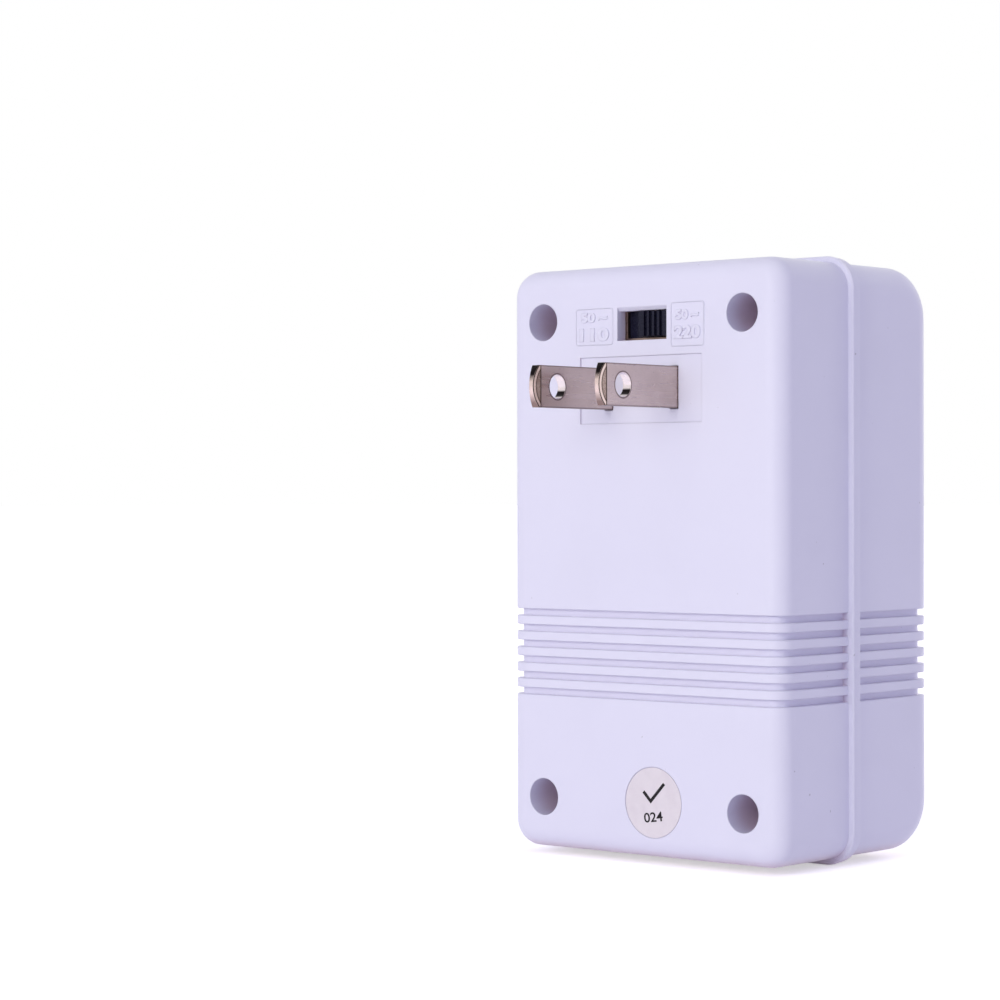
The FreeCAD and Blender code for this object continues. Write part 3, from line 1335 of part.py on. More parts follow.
def selector_bridges():
    """Two bowed copper bridges under the slider, each over two terminals."""
    thick = number("Size.bridge_sheet")
    top = number(FOOT_FACE) - thick / 2
    low = number(f"{BOARD_FACE} + Size.terminal_head + Size.slider_gap") + thick / 2
    half = number("Size.slider_travel") / 2
    parts = []
    for side in (1, -1):
        z = side * number("Size.bridge_row")
        points = [
            Vector(-1.6 * half, (low + top) / 2, z),
            Vector(-half, low, z),
            Vector(-0.45 * half, top, z),
            Vector(0.45 * half, top, z),
            Vector(half, low, z),
            Vector(1.6 * half, (low + top) / 2, z),
        ]
        parts.append(strip(points, thick, number("Size.bridge_width"), Vector(0, 0, 1)))
    item = fixed_shape("bridge_sheets", Part.makeCompound(parts))
    finish_node(item, "selector_bridges", x=SLIDER_REST, z="Size.selector_z")


# Indicator

def indicator():
    dome = "(Size.front_depth + Size.led_proud)"
    base = f"({dome} - Size.led_length)"
    radius = "Size.led_radius"
    centre = doc.addObject("Part::Sphere", "led_dome")
    centre.setExpression("Radius", radius)
    centre.setExpression("Placement.Base.y", f"-({dome} - {radius})")
    lens = joined("led_lens", [
        rod("led_barrel", radius, f"Size.led_length - {radius}", y=f"-({dome} - {radius})", axis="y"),
        rod("led_flange", "Size.led_flange_radius", "Size.led_flange_height",
            y=f"-({base} + Size.led_flange_height)", axis="y"),
        centre,
    ])
    finish_node(lens, "indicator_led", z="-Size.led_z")
    half = "Size.lead_pitch / 2"
    leads = grouped("led_lead_pair", [
        rod("long_lead", "Size.lead_radius", "Size.long_lead", x=f"-{half}", y=f"-{base}", axis="y"),
        rod("short_lead", "Size.lead_radius", "Size.short_lead", x=half, y=f"-{base}", axis="y"),
    ])
    finish_node(leads, "indicator_leads", z="-Size.led_z")


def indicator_resistor():
    start = "(Size.led_length + Size.short_lead - Size.front_depth - Size.led_proud)"
    whole = "(Size.resistor_length + 2 * Size.resistor_lead)"
    item = joined("resistor_shape", [
        rod("resistor_lead", "Size.lead_radius", whole, axis="y"),
        rod("resistor_body", "Size.resistor_radius", "Size.resistor_length",
            y="Size.resistor_lead", axis="y"),
    ])
    finish_node(item, "indicator_resistor", x="Size.lead_pitch / 2", y=start, z="-Size.led_z")


# Transformer

def core_e_stack():
    body = new_body("core_e_stack")
    face = new_sketch(body, "e_outline")
    half = "(Size.core_width / 2)"
    leg = "(Size.core_leg / 2)"
    side = f"({half} - Size.core_side)"
    top = "(Size.core_side + Size.core_window_height)"
    right = [
        (half, "0"),
        (half, top),
        (side, top),
        (side, "Size.core_side"),
        (leg, "Size.core_side"),
        (leg, top),
    ]
    left = [(f"-{x}", z) for x, z in reversed(right)]
    outline(face, right + left)
    for sign in ("-", ""):
        hole_x = f"{sign}({half} - Size.core_hole_inset)"
        circle(face, hole_x, "Size.core_hole_inset", "Size.core_hole_radius")
    pad(body, face, "Size.core_stack", both=True)
    finish_node(body, "core_e_stack", y=CORE_MIDDLE, z="-Size.core_bottom")


def core_i_stack():
    body = new_body("core_i_stack")
    face = new_sketch(body, "i_outline")
    half = "(Size.core_width / 2)"
    rectangle(face, f"-{half}", half, "0", "Size.core_side")
    for sign in ("-", ""):
        hole_x = f"{sign}({half} - Size.core_hole_inset)"
        circle(face, hole_x, "Size.core_hole_inset", "Size.core_hole_radius")
    pad(body, face, "Size.core_stack", both=True)
    finish_node(body, "core_i_stack", y=CORE_MIDDLE, z=COIL_TOP)


def coil_ring(label, inner, outer, bottom, top):
    """A ring round the middle leg, between two distances from its faces."""
    body = new_body(label)
    plan = new_sketch(body, label + "_plan", "XY_Plane", bottom)
    for reach in (outer, inner):
        centred_rectangle(
            plan,
            f"Size.core_leg / 2 + {reach}",
            f"Size.core_stack / 2 + {reach}",
            reach,
        )
    pad(body, plan, f"({top}) - ({bottom})")
    return body


def coil():
    low = f"({COIL_BOTTOM} + Size.core_gap)"
    high = f"({COIL_TOP} - Size.core_gap)"
    sleeve = "(Size.bobbin_gap + Size.bobbin_wall)"
    body = coil_ring("bobbin", "Size.bobbin_gap", sleeve, low, high)
    for name, level in (("lower", low), ("upper", f"{high} - Size.bobbin_wall")):
        rim = new_sketch(body, name + "_flange", "XY_Plane", level)
        centred_rectangle(rim, "Size.bobbin_rim_x", "Size.bobbin_rim_y", "Size.bobbin_rounding")
        centred_rectangle(
            rim,
            "Size.core_leg / 2 + Size.bobbin_gap",
            "Size.core_stack / 2 + Size.bobbin_gap",
            "Size.bobbin_gap",
        )
        pad(body, rim, "Size.bobbin_wall")
    finish_node(body, "bobbin", y=CORE_MIDDLE)
    spare = "(Size.bobbin_wall + Size.winding_gap)"
    inner_in = f"({sleeve} + Size.winding_gap)"
    inner_out = f"({inner_in} + Size.inner_winding)"
    outer_in = f"({inner_out} + Size.winding_gap)"
    outer_out = f"({outer_in} + Size.outer_winding)"
    tape_in = f"({outer_out} + Size.winding_gap / 2)"
    layers = (
        ("common_winding", inner_in, inner_out),
        ("series_winding", outer_in, outer_out),
        ("winding_tape", tape_in, f"({tape_in} + Size.tape_thickness)"),
    )
    for label, inner, outer in layers:
        ring = coil_ring(label, inner, outer, f"{low} + {spare}", f"{high} - {spare}")
        finish_node(ring, label, y=CORE_MIDDLE)


def thermal_fuse():
    whole = "(Size.fuse_length + 2 * Size.fuse_lead)"
    item = joined("fuse_shape", [
        rod("fuse_lead", "Size.lead_radius", whole, x=f"-{whole} / 2", axis="x"),
        rod("fuse_body", "Size.fuse_radius", "Size.fuse_length", x="-Size.fuse_length / 2", axis="x"),
    ])
    overhang = "(Size.bobbin_rim_y + Size.core_stack / 2) / 2"
    above = f"{COIL_TOP} - Size.core_gap + Size.fuse_radius + Size.winding_gap"
    finish_node(item, "thermal_fuse", y=f"{CORE_MIDDLE} - {overhang}", z=above)


# Wiring

def terminal_end(column, row):
    """Where a wire meets a selector terminal."""
    y = number(f"{BOARD_FACE} - Size.board_thickness - Size.terminal_length - Size.wire_seat")
    x = number(f"Size.selector_x + {column} * Size.slider_travel")
    return Vector(x, y, number(f"Size.selector_z + {row} * Size.bridge_row"))


def blade_end(side):
    y = number(f"{BLOCK_FACE} - Size.blade_shoulder_depth - Size.blade_tail_length - Size.wire_seat")
    return Vector(side * number("Size.blade_pitch") / 2, y, number("Size.blade_z"))


def tab_end(side, place):
    """Where a wire meets a side contact's tab: place -1 or 1 across the tab."""
    x = side * number("Size.wide_pin_x") + place * 1.2 * number("Size.wire_radius")
    y = number(f"-{CARRIER_BACK} + Size.tab_length + Size.wire_seat")
    return Vector(x, y, number("Size.spine_low + Size.contact_sheet / 2"))


def coil_end(x):
    """Where a wire meets the rear flange of the bobbin, above the coil."""
    y = number(f"{CORE_MIDDLE} + (Size.bobbin_rim_y + Size.core_stack / 2) / 2")
    return Vector(x, y, number(f"{COIL_TOP} - Size.core_gap + Size.wire_seat"))


def wiring():
    radius = number("Size.wire_radius")
    over_core = number(CORE_TOP) + 2.6 * radius
    gap_y = number(f"-{RETAINER_BACK}") + 3.4

    def run(label, points):
        finish_node(fixed_shape(label + "_run", wire(points, radius)), label)

    def down_to_coil(end):
        return [Vector(end.x, end.y, over_core + 1.5), end]

    blade = blade_end(-1)
    middle = terminal_end(0, -1)
    run("wire_plug_live", [
        blade,
        Vector(blade.x, gap_y, blade.z),
        Vector(blade.x + 2, gap_y - 0.4, blade.z + 5),
        Vector(middle.x, gap_y + 0.2, middle.z),
        middle,
    ])
    blade = blade_end(1)
    tab = tab_end(1, -1)
    run("wire_plug_neutral", [
        blade,
        Vector(blade.x, gap_y, blade.z),
        Vector(blade.x + 1.6, gap_y - 0.3, blade.z - 10),
        Vector(tab.x, gap_y + 1.2, tab.z + 0.1),
        tab,
    ])
    end = terminal_end(-1, -1)
    tab = tab_end(-1, -1)
    run("wire_socket_live", [
        end,
        Vector(end.x - 0.4, gap_y + 0.2, end.z),
        Vector(end.x - 6.6, gap_y, end.z - 8),
        Vector(tab.x, gap_y - 0.2, tab.z + 9),
        Vector(tab.x, gap_y + 1.2, tab.z + 0.1),
        tab,
    ])
    tab = tab_end(1, 1)
    finish = coil_end(9)
    run("wire_winding_common", [
        tab,
        Vector(tab.x, gap_y + 1.8, tab.z),
        Vector(tab.x - 1, gap_y + 6.5, over_core + 1.8),
        *down_to_coil(finish),
    ])
    end = terminal_end(1, -1)
    finish = coil_end(3)
    run("wire_winding_high", [
        end,
        Vector(end.x + 0.2, gap_y + 0.4, end.z),
        Vector(end.x + 0.4, gap_y, end.z - 14),
        Vector(finish.x, gap_y + 3, over_core + 3.5),
        *down_to_coil(finish),
    ])
    end = terminal_end(-1, 1)
    finish = coil_end(-6)
    run("wire_winding_tap", [
        end,
        Vector(end.x - 0.2, gap_y - 1.6, end.z - 0.3),
        Vector(end.x - 5.4, gap_y - 1.8, end.z - 9),
        Vector(end.x - 3.6, gap_y - 1, end.z - 22),
        Vector(finish.x, gap_y + 3.4, over_core + 3),
        *down_to_coil(finish),
    ])


def indicator_wires():
    radius = number("Size.thin_wire_radius")
    base = number("Size.led_length - Size.front_depth - Size.led_proud")
    z = -number("Size.led_z")
    half = number("Size.lead_pitch") / 2
    long_end = base + number("Size.long_lead + Size.wire_seat")
    resistor = number("Size.resistor_length + 2 * Size.resistor_lead")
    short_end = base + number("Size.short_lead + Size.wire_seat") + resistor
    back = number(f"{CORE_MIDDLE} + (Size.bobbin_rim_y + Size.core_stack / 2) / 2")
    top = number(f"{COIL_BOTTOM} + Size.core_gap - Size.wire_seat")
    shapes = []
    for side, start in ((-1, long_end), (1, short_end)):
        shapes.append(wire([
            Vector(side * half, start, z),
            Vector(side * half, back - 6, z),
            Vector(side * (half + 1), back, z + 3.5),
            Vector(side * (half + 1), back, top),
        ], radius))
    finish_node(fixed_shape("indicator_wire_runs", Part.makeCompound(shapes)), "indicator_wires")


def round_label():
    item = rod("label_disc", "Size.label_radius", "Size.label_thickness", axis="y")
    seat = "Size.rear_depth - Size.label_sink"
    finish_node(item, "round_label", x="Size.label_x", y=seat, z="-Size.label_z")


def check_document():
    for item in doc.Objects:
        if "Invalid" in item.State or "Error" in item.State:
            raise RuntimeError(f"{item.Label}: {item.State}")
    for item in nodes:
        if item.Shape.isNull() or not item.Shape.isValid():
            raise RuntimeError(f"{item.Label} has no valid shape")


def export():
    os.makedirs("parts", exist_ok=True)
    for item in nodes:
        item.Shape.exportStep(os.path.join("parts", item.Label + ".step"))
        print(item.Label, len(item.Shape.Solids), round(item.Shape.Volume, 1))


fill_sheet()
front_cover()
rear_cover()
case_screws()
socket_carrier()
contact_retainer()
side_contact("contact_left", -1)
side_contact("contact_right", 1)
earth_contact()
carrier_screws()
plug_base()
plug_base_screws()
plug_blade("plug_blade_left", "-")
plug_blade("plug_blade_right", "")
selector_frame()
selector_board()
selector_terminals()
selector_slider()
selector_bridges()
indicator()
indicator_resistor()
core_e_stack()
core_i_stack()
coil()
thermal_fuse()
wiring()
indicator_wires()
round_label()
doc.recompute()
check_document()
export()
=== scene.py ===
import math

import bmesh
import bpy
from mathutils import Matrix, Vector


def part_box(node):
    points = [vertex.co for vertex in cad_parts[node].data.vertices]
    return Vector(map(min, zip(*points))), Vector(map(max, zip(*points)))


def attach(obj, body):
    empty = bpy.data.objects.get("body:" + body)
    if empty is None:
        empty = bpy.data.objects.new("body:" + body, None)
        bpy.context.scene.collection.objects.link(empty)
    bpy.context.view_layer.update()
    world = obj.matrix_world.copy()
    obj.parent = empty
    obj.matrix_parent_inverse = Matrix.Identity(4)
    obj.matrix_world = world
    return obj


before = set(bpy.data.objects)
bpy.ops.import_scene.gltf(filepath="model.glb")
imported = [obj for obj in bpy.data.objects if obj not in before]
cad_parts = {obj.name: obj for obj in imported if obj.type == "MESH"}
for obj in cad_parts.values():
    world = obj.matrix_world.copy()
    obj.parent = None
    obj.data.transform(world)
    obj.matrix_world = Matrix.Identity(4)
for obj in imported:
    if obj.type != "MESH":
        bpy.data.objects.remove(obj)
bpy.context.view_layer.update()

# Lengths are in millimetres unless said otherwise, and MM turns them into Blender's metres.
# Colours of three numbers up to 255 are sRGB.
MM = 0.001

# The housing, as it stands in the frame: its middle, and the faces that carry print and relief.
FRONT_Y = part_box("front_cover")[0][1]
REAR_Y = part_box("rear_cover")[1][1]
MIDDLE_Z = (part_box("rear_cover")[0][2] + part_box("rear_cover")[1][2]) / 2
PANEL_SINK = 0.3

# The plug's blades: their height above the housing's middle, how far they stand out of its rear
# face, the radius of the rounded tip, the length of the tip's bevels, and the hole's place along
# the blade and its radius.
BLADE_Z = 26.4
BLADE_LENGTH = 18.2
TIP_BOW = 5.1
WEDGE_LENGTH = 1.5
HOLE_REACH = 12.9
HOLE_RADIUS = 1.85

# Camera: where the photograph of the rear was taken from. Angles are in degrees.
AZIMUTH = -138.76
ELEVATION = 0.09
ROLL = -0.10
DISTANCE = 457.9
ASIDE = -33.1
LENS_HEIGHT = 9.3
FOCAL_LENGTH = 104.56
SENSOR_WIDTH = 36
BEHIND_LENS_PLANE = 17.7

# Lamps and surroundings, with lengths in metres and linear colours.
LAMPS = (
    # name, azimuth and elevation in degrees, distance, size, power in watts, shows in gloss
    ("key_rear", 183, 11, 1.1, 0.7, 6.65, False),
    ("key_front", -2, 13, 1.1, 0.7, 6.0, False),
    ("overhead", 200, 80, 1.2, 1.0, 1.8, True),
)
LAMP_COLOR = (1, 0.99, 0.82)
SKY_COLOR = (0.755, 0.74, 1.0, 1)
SKY_LEVEL = 0.715
ZENITH_LEVEL = 0.38
WHITE = (1, 1, 1, 1)
FLOOR_PAINT = (0.95, 0.93, 0.97, 1)
FLOOR_REACH = 12.0
FLOOR_DROP = 0.0002
FLOOR_GLOW_NEAR = (0.2, 0.50)
FLOOR_GLOW_FAR = (1.5, 0.78)

# The main colours
PLASTIC = (226, 225, 245)
GOLD = (222, 152, 6)
NAVY = (24, 24, 58)

# Print is a thin plate. Print and relief have their middle just proud of the face behind them.
PRINT_THICKNESS = 0.02
FRONT_PROUD = 0.012
REAR_PROUD = 0.01


def spot(x, y, z):
    """Millimetres from the middle of the housing, with y already a place in the frame."""
    return Vector((x * MM, y, MIDDLE_Z + z * MM))


def way_to(azimuth, elevation):
    """The unit vector from the object to an azimuth, 0 in front, and an elevation in degrees."""
    a, e = math.radians(azimuth), math.radians(elevation)
    return Vector((math.sin(a) * math.cos(e), -math.cos(a) * math.cos(e), math.sin(e)))


def put_in_scene(name, data):
    item = bpy.data.objects.new(name, data)
    bpy.context.scene.collection.objects.link(item)
    return item


def linear(color):
    """An 8-bit sRGB colour as Blender's linear one."""
    def channel(value):
        value /= 255
        return value / 12.92 if value <= 0.04045 else ((value + 0.055) / 1.055) ** 2.4
    return tuple(channel(value) for value in color) + (1.0,)


def darker(color, share):
    return tuple(value * share for value in color)


def brighter(color, step):
    return tuple(min(255, value + step) for value in color)


# Materials

class Nodes:
    """A node tree that is built up node by node."""

    def __init__(self, tree):
        self.tree = tree

    def add(self, kind, **settings):
        node = self.tree.nodes.new(kind)
        for key, value in settings.items():
            setattr(node, key, value)
        return node

    def link(self, output, socket):
        self.tree.links.new(output, socket)

    def combine(self, operation, first, second):
        """Two values through a Math node."""
        node = self.add("ShaderNodeMath", operation=operation)
        self.link(first, node.inputs[0])
        self.link(second, node.inputs[1])
        return node.outputs["Value"]

    def component(self, vector, axis):
        """One number of a vector, by its letter."""
        node = self.add("ShaderNodeSeparateXYZ")
        self.link(vector, node.inputs["Vector"])
        return node.outputs[axis]

    def ramp(self, factor, *stops):
        """A value turned into the values at two stops, each (position, value), and held beyond."""
        node = self.add("ShaderNodeMapRange")
        (low, low_value), (high, high_value) = stops
        node.inputs["From Min"].default_value = low
        node.inputs["From Max"].default_value = high
        node.inputs["To Min"].default_value = low_value
        node.inputs["To Max"].default_value = high_value
        self.link(factor, node.inputs["Value"])
        return node.outputs["Result"]


class Recipe(Nodes):
    """A Principled material with procedural nodes, in the frame's own coordinates."""

    def __init__(self, name, color, roughness, metallic=0.0, **sockets):
        self.material = bpy.data.materials.new(name)
        self.material.use_nodes = True
        super().__init__(self.material.node_tree)
        self.shader = self.tree.nodes["Principled BSDF"]
        self.color = color
        self.shader.inputs["Base Color"].default_value = linear(color)
        self.shader.inputs["Roughness"].default_value = roughness
        self.shader.inputs["Metallic"].default_value = metallic
        for socket, value in sockets.items():
            self.shader.inputs[socket.replace("_", " ")].default_value = value
        self.place = self.add("ShaderNodeTexCoord").outputs["Object"]
        self.relief = None

    def noise(self, size, detail=3.0, stretch=(1, 1, 1)):
        """Noise with features of about a size in millimetres, longer where stretch is small."""
        mapping = self.add("ShaderNodeMapping")
        mapping.inputs["Scale"].default_value = stretch
        self.link(self.place, mapping.inputs["Vector"])
        node = self.add("ShaderNodeTexNoise")
        node.inputs["Scale"].default_value = 1 / (size * MM)
        node.inputs["Detail"].default_value = detail
        self.link(mapping.outputs["Vector"], node.inputs["Vector"])
        return node.outputs["Fac"]

    def bands(self, pitch, axis):
        """Smooth bands across an axis, pitch millimetres apart."""
        node = self.add("ShaderNodeTexWave", bands_direction=axis)
        node.inputs["Scale"].default_value = 1 / (pitch * MM) * math.pi / 10
        self.link(self.place, node.inputs["Vector"])
        return node.outputs["Fac"]

    def facing(self, direction):
        """How far the softened surface turns to a direction: 1 straight to it, -1 away."""
        node = self.add("ShaderNodeVectorMath", operation="DOT_PRODUCT")
        node.inputs[1].default_value = direction
        self.link(self.relief, node.inputs[0])
        return node.outputs["Value"]

    def away(self, point, axes):
        """Millimetres from a point of the frame, measured along the given axes alone."""
        flat = self.add("ShaderNodeVectorMath", operation="MULTIPLY")
        flat.inputs[1].default_value = axes
        self.link(self.place, flat.inputs[0])
        gap = self.add("ShaderNodeVectorMath", operation="DISTANCE")
        gap.inputs[1].default_value = [value * axis for value, axis in zip(point, axes)]
        self.link(flat.outputs["Vector"], gap.inputs[0])
        length = self.add("ShaderNodeMath", operation="DIVIDE")
        length.inputs[1].default_value = MM
        self.link(gap.outputs["Value"], length.inputs[0])
        return length.outputs["Value"]

    def hollow(self, reach, *stops):
        """A ramp of how open the surface is within reach millimetres, from 0, closed in, to 1."""
        node = self.add("ShaderNodeAmbientOcclusion", samples=8)
        node.inputs["Distance"].default_value = reach * MM
        return self.ramp(node.outputs["AO"], *stops)

    def both(self, first, second):
        """The product of two factors."""
        return self.combine("MULTIPLY", first, second)

    def band(self, value, low, high, soft, amount=1.0):
        """The amount between low and high, with soft ends, and 0 outside them."""
        rise = self.ramp(value, (low - soft / 2, 0.0), (low + soft / 2, amount))
        fall = self.ramp(value, (high - soft / 2, 1.0), (high + soft / 2, 0.0))
        return self.both(rise, fall)

    def stain(self, factor, color):
        """Blend another colour in where the factor is high."""
        mix = self.add("ShaderNodeMix", data_type="RGBA")
        socket = self.shader.inputs["Base Color"]
        if socket.is_linked:
            self.link(socket.links[0].from_socket, mix.inputs["A"])
        else:
            mix.inputs["A"].default_value = linear(self.color)
        mix.inputs["B"].default_value = linear(color)
        self.link(factor, mix.inputs["Factor"])
        self.link(mix.outputs["Result"], socket)

    def mottle(self, color, size, detail, start, full, amount, stretch=(1, 1, 1)):
        """Stain with noise: nothing below its value at start, the whole amount above full."""
        noise = self.noise(size, detail, stretch)
        self.stain(self.ramp(noise, (start, 0.0), (full, amount)), color)

    def wear(self, factor, low, high):
        """Roughness between two values."""
        self.link(self.ramp(factor, (0.3, low), (0.7, high)), self.shader.inputs["Roughness"])

    def turn_normals(self, node):
        self.relief = node.outputs["Normal"]
        self.link(self.relief, self.shader.inputs["Normal"])

    def soft_edges(self, radius):
        """Shade sharp edges as if they were rounded. This comes before any bump."""
        node = self.add("ShaderNodeBevel", samples=8)
        node.inputs["Radius"].default_value = radius * MM
        self.turn_normals(node)

    def bump(self, height, depth):
        """Relief of the given depth in millimetres, added to what is there."""
        node = self.add("ShaderNodeBump")
        node.inputs["Strength"].default_value = 1.0
        node.inputs["Distance"].default_value = depth * MM
        self.link(height, node.inputs["Height"])
        if self.relief is not None:
            self.link(self.relief, node.inputs["Normal"])
        self.turn_normals(node)


def moulded_plastic(name, color=PLASTIC, roughness=0.30, hollow_shade=(222, 202, 220)):
    """Slightly glossy plastic: faint orange peel, flow marks, a few specks, and painted shade in
    its hollows.
    """
    recipe = Recipe(name, color, roughness, Specular_IOR_Level=0.3)
    recipe.soft_edges(0.24)
    recipe.bump(recipe.noise(0.55, 2.0), 0.0035)
    recipe.bump(recipe.noise(9.0, 1.5, (1, 1, 0.5)), 0.02)
    recipe.mottle(darker(color, 0.965), 14.0, 2.0, 0.45, 0.9, 0.35)
    recipe.mottle(darker(color, 0.62), 0.9, 1.0, 0.80, 0.84, 0.45)
    # Painted shade: a darker tint blended in where the surface is closed in, as in wells and
    # grooves.
    recipe.stain(recipe.hollow(9.0, (0.05, 0.9), (0.32, 0.0)), hollow_shade)
    recipe.wear(recipe.noise(2.2, 4.0), roughness - 0.01, roughness + 0.03)
    return recipe.material


def dark_plastic(name, color, roughness, specular=0.28):
    """Fine-grained plastic with uneven gloss."""
    recipe = Recipe(name, color, roughness, Specular_IOR_Level=specular)
    recipe.soft_edges(0.1)
    recipe.bump(recipe.noise(0.25, 3.0), 0.005)
    recipe.mottle(brighter(color, 9), 0.7, 4.0, 0.55, 0.8, 0.5)
    recipe.wear(recipe.noise(0.6, 3.0), roughness - 0.08, roughness + 0.14)
    return recipe.material


def plated_blade(name):
    """Nickel-plated strip: fine grain, darker along its long edges and round its hole, and painted
    highlights and painted shade on its tip and in its hole.
    """
    recipe = Recipe(name, (206, 190, 183), 0.26, 1.0)
    recipe.soft_edges(0.14)
    outward = recipe.facing((0, 1, 0))
    upward = recipe.facing((0, 0, 1))
    downward = recipe.facing((0, 0, -1))
    root = spot(0, REAR_Y, BLADE_Z)
    from_bow = recipe.away(root + Vector((0, (BLADE_LENGTH - TIP_BOW) * MM, 0)), (0, 1, 1))
    from_hole = recipe.away(root + Vector((0, HOLE_REACH * MM, 0)), (0, 1, 1))
    from_middle = recipe.away(root, (0, 0, 1))
    from_face = recipe.away(root, (0, 1, 0))

    # The flat sides: rolled grain, cloudy plating, specks, dark long edges, a ring at the hole
    grain = recipe.noise(0.10, 3.0, (1, 0.35, 1))
    recipe.bump(grain, 0.003)
    recipe.stain(recipe.ramp(grain, (0.35, 0.3), (0.65, 0.0)), (182, 165, 158))
    recipe.mottle((174, 157, 150), 4.5, 3.0, 0.42, 0.75, 0.4)
    recipe.mottle((112, 94, 90), 0.30, 2.0, 0.70, 0.78, 0.7)
    recipe.stain(recipe.ramp(from_middle, (2.94, 0.0), (3.10, 0.7)), (104, 88, 86))
    ring = recipe.band(from_hole, HOLE_RADIUS + 0.03, HOLE_RADIUS + 0.23, 0.08, 0.8)
    recipe.stain(ring, (98, 82, 80))

    # The wedge's slopes: painted shade, with painted highlight and shade lines along the bow, and a
    # painted dark start
    wedge = recipe.band(outward, 0.12, 0.60, 0.08)
    # Painted shade on the wedge's slopes, in patches
    patchy_shade = recipe.ramp(recipe.noise(0.2, 2.0), (0.4, 0.6), (0.6, 1.0))
    recipe.stain(recipe.both(wedge, patchy_shade), (148, 128, 122))
    # Painted highlight along the bow
    highlight_line = recipe.band(from_bow, TIP_BOW - 0.55, TIP_BOW - 0.20, 0.10)
    recipe.stain(recipe.both(wedge, highlight_line), (226, 206, 200))
    # Painted shade line along the bow
    shade_line = recipe.band(from_bow, TIP_BOW - 0.72, TIP_BOW - 0.55, 0.10, 0.9)
    recipe.stain(recipe.both(wedge, shade_line), (92, 74, 70))
    # Painted dark rim at the bow
    rim = recipe.ramp(from_bow, (TIP_BOW - 0.22, 0.0), (TIP_BOW - 0.12, 1.0))
    recipe.stain(recipe.both(wedge, rim), (54, 42, 42))
    # Painted shade line where the wedge starts
    start = BLADE_LENGTH - WEDGE_LENGTH
    recipe.stain(recipe.band(from_face, start - 0.05, start + 0.16, 0.08, 0.9), (66, 52, 50))

    # The bowed end: a painted highlight, dark painted shade where it turns up, and lighter painted
    # shade where it turns down
    end_face = recipe.ramp(outward, (0.60, 0.0), (0.72, 1.0))
    recipe.stain(end_face, (226, 204, 198))
    turned_up = recipe.ramp(upward, (0.12, 0.0), (0.34, 1.0))
    recipe.stain(recipe.both(end_face, turned_up), (24, 18, 20))
    turned_down = recipe.ramp(downward, (0.20, 0.0), (0.50, 0.9))
    recipe.stain(recipe.both(end_face, turned_down), (120, 98, 94))

    # The hole's wall: a painted highlight, with one streak of painted shade where it faces up
    within = recipe.ramp(from_hole, (HOLE_RADIUS + 0.01, 1.0), (HOLE_RADIUS + 0.05, 0.0))
    outside_face = recipe.ramp(from_face, (0.1, 0.0), (0.2, 1.0))
    in_hole = recipe.both(within, outside_face)
    recipe.stain(in_hole, (232, 220, 222))
    recipe.stain(recipe.both(in_hole, recipe.band(upward, 0.30, 0.80, 0.14)), (26, 20, 22))
    recipe.wear(recipe.noise(1.1, 4.0, (1, 0.08, 1)), 0.20, 0.36)
    return recipe.material


def copper_sheet(name):
    """Bare copper alloy, rolled: mostly bright, with brown tarnish and fine scratches."""
    recipe = Recipe(name, (246, 158, 100), 0.3, 0.8)
    recipe.soft_edges(0.12)
    scratches = recipe.noise(0.16, 3.0, (1, 0.12, 1))
    recipe.bump(scratches, 0.004)
    recipe.stain(recipe.ramp(scratches, (0.45, 0.35), (0.62, 0.0)), (206, 122, 74))
    recipe.mottle((196, 104, 58), 3.0, 3.0, 0.42, 0.70, 0.7)
    recipe.mottle((128, 66, 40), 0.22, 3.0, 0.60, 0.75, 0.45)
    recipe.wear(recipe.noise(0.9, 3.0), 0.22, 0.42)
    return recipe.material


def zinc_steel(name, color=(178, 172, 164)):
    """Plated steel with brownish patches."""
    recipe = Recipe(name, color, 0.33, 1.0)
    recipe.soft_edges(0.08)
    recipe.bump(recipe.noise(0.14, 3.0), 0.004)
    recipe.mottle((134, 112, 92), 1.6, 4.0, 0.5, 0.75, 0.6)
    recipe.wear(recipe.noise(0.5, 4.0), 0.25, 0.45)
    return recipe.material


def laminations(name):
    """Edges of thin varnished sheets, stacked front to back."""
    recipe = Recipe(name, (96, 96, 100), 0.45, 0.85)
    sheets = recipe.bands(0.5, "Y")
    recipe.bump(sheets, 0.08)
    recipe.stain(recipe.ramp(sheets, (0.0, 0.85), (0.35, 0.0)), (34, 32, 32))
    recipe.mottle((110, 84, 60), 2.8, 5.0, 0.5, 0.75, 0.8)
    recipe.wear(recipe.noise(1.2, 3.0), 0.35, 0.6)
    return recipe.material


def winding(name, color, pitch):
    """Turns of enamelled wire, one above the other, with painted shade between the turns."""
    recipe = Recipe(name, color, 0.25, 0.9)
    turns = recipe.bands(pitch, "Z")
    recipe.bump(turns, pitch * 0.45)
    # Painted shade in the creases between turns.
    recipe.stain(recipe.ramp(turns, (0.0, 0.9), (0.4, 0.0)), darker(color, 0.3))
    recipe.mottle(darker(color, 0.7), 3.0, 3.0, 0.5, 0.8, 0.5)
    return recipe.material


def tape(name):
    """Glossy polyester tape, wrapped in slightly uneven layers."""
    recipe = Recipe(name, (226, 186, 44), 0.22, Coat_Weight=0.3)
    recipe.bump(recipe.noise(4.0, 2.0, (1, 1, 0.3)), 0.08)
    recipe.bump(recipe.noise(0.5, 2.0), 0.01)
    recipe.mottle((188, 142, 24), 5.0, 3.0, 0.4, 0.75, 0.6, (1, 1, 0.25))
    return recipe.material


def insulation(name, color):
    """Soft sleeve of a wire."""
    recipe = Recipe(name, color, 0.42)
    recipe.bump(recipe.noise(0.4, 3.0), 0.01)
    recipe.mottle(darker(color, 0.75), 2.0, 3.0, 0.5, 0.8, 0.4)
    recipe.wear(recipe.noise(0.8, 2.0), 0.36, 0.5)
    return recipe.material


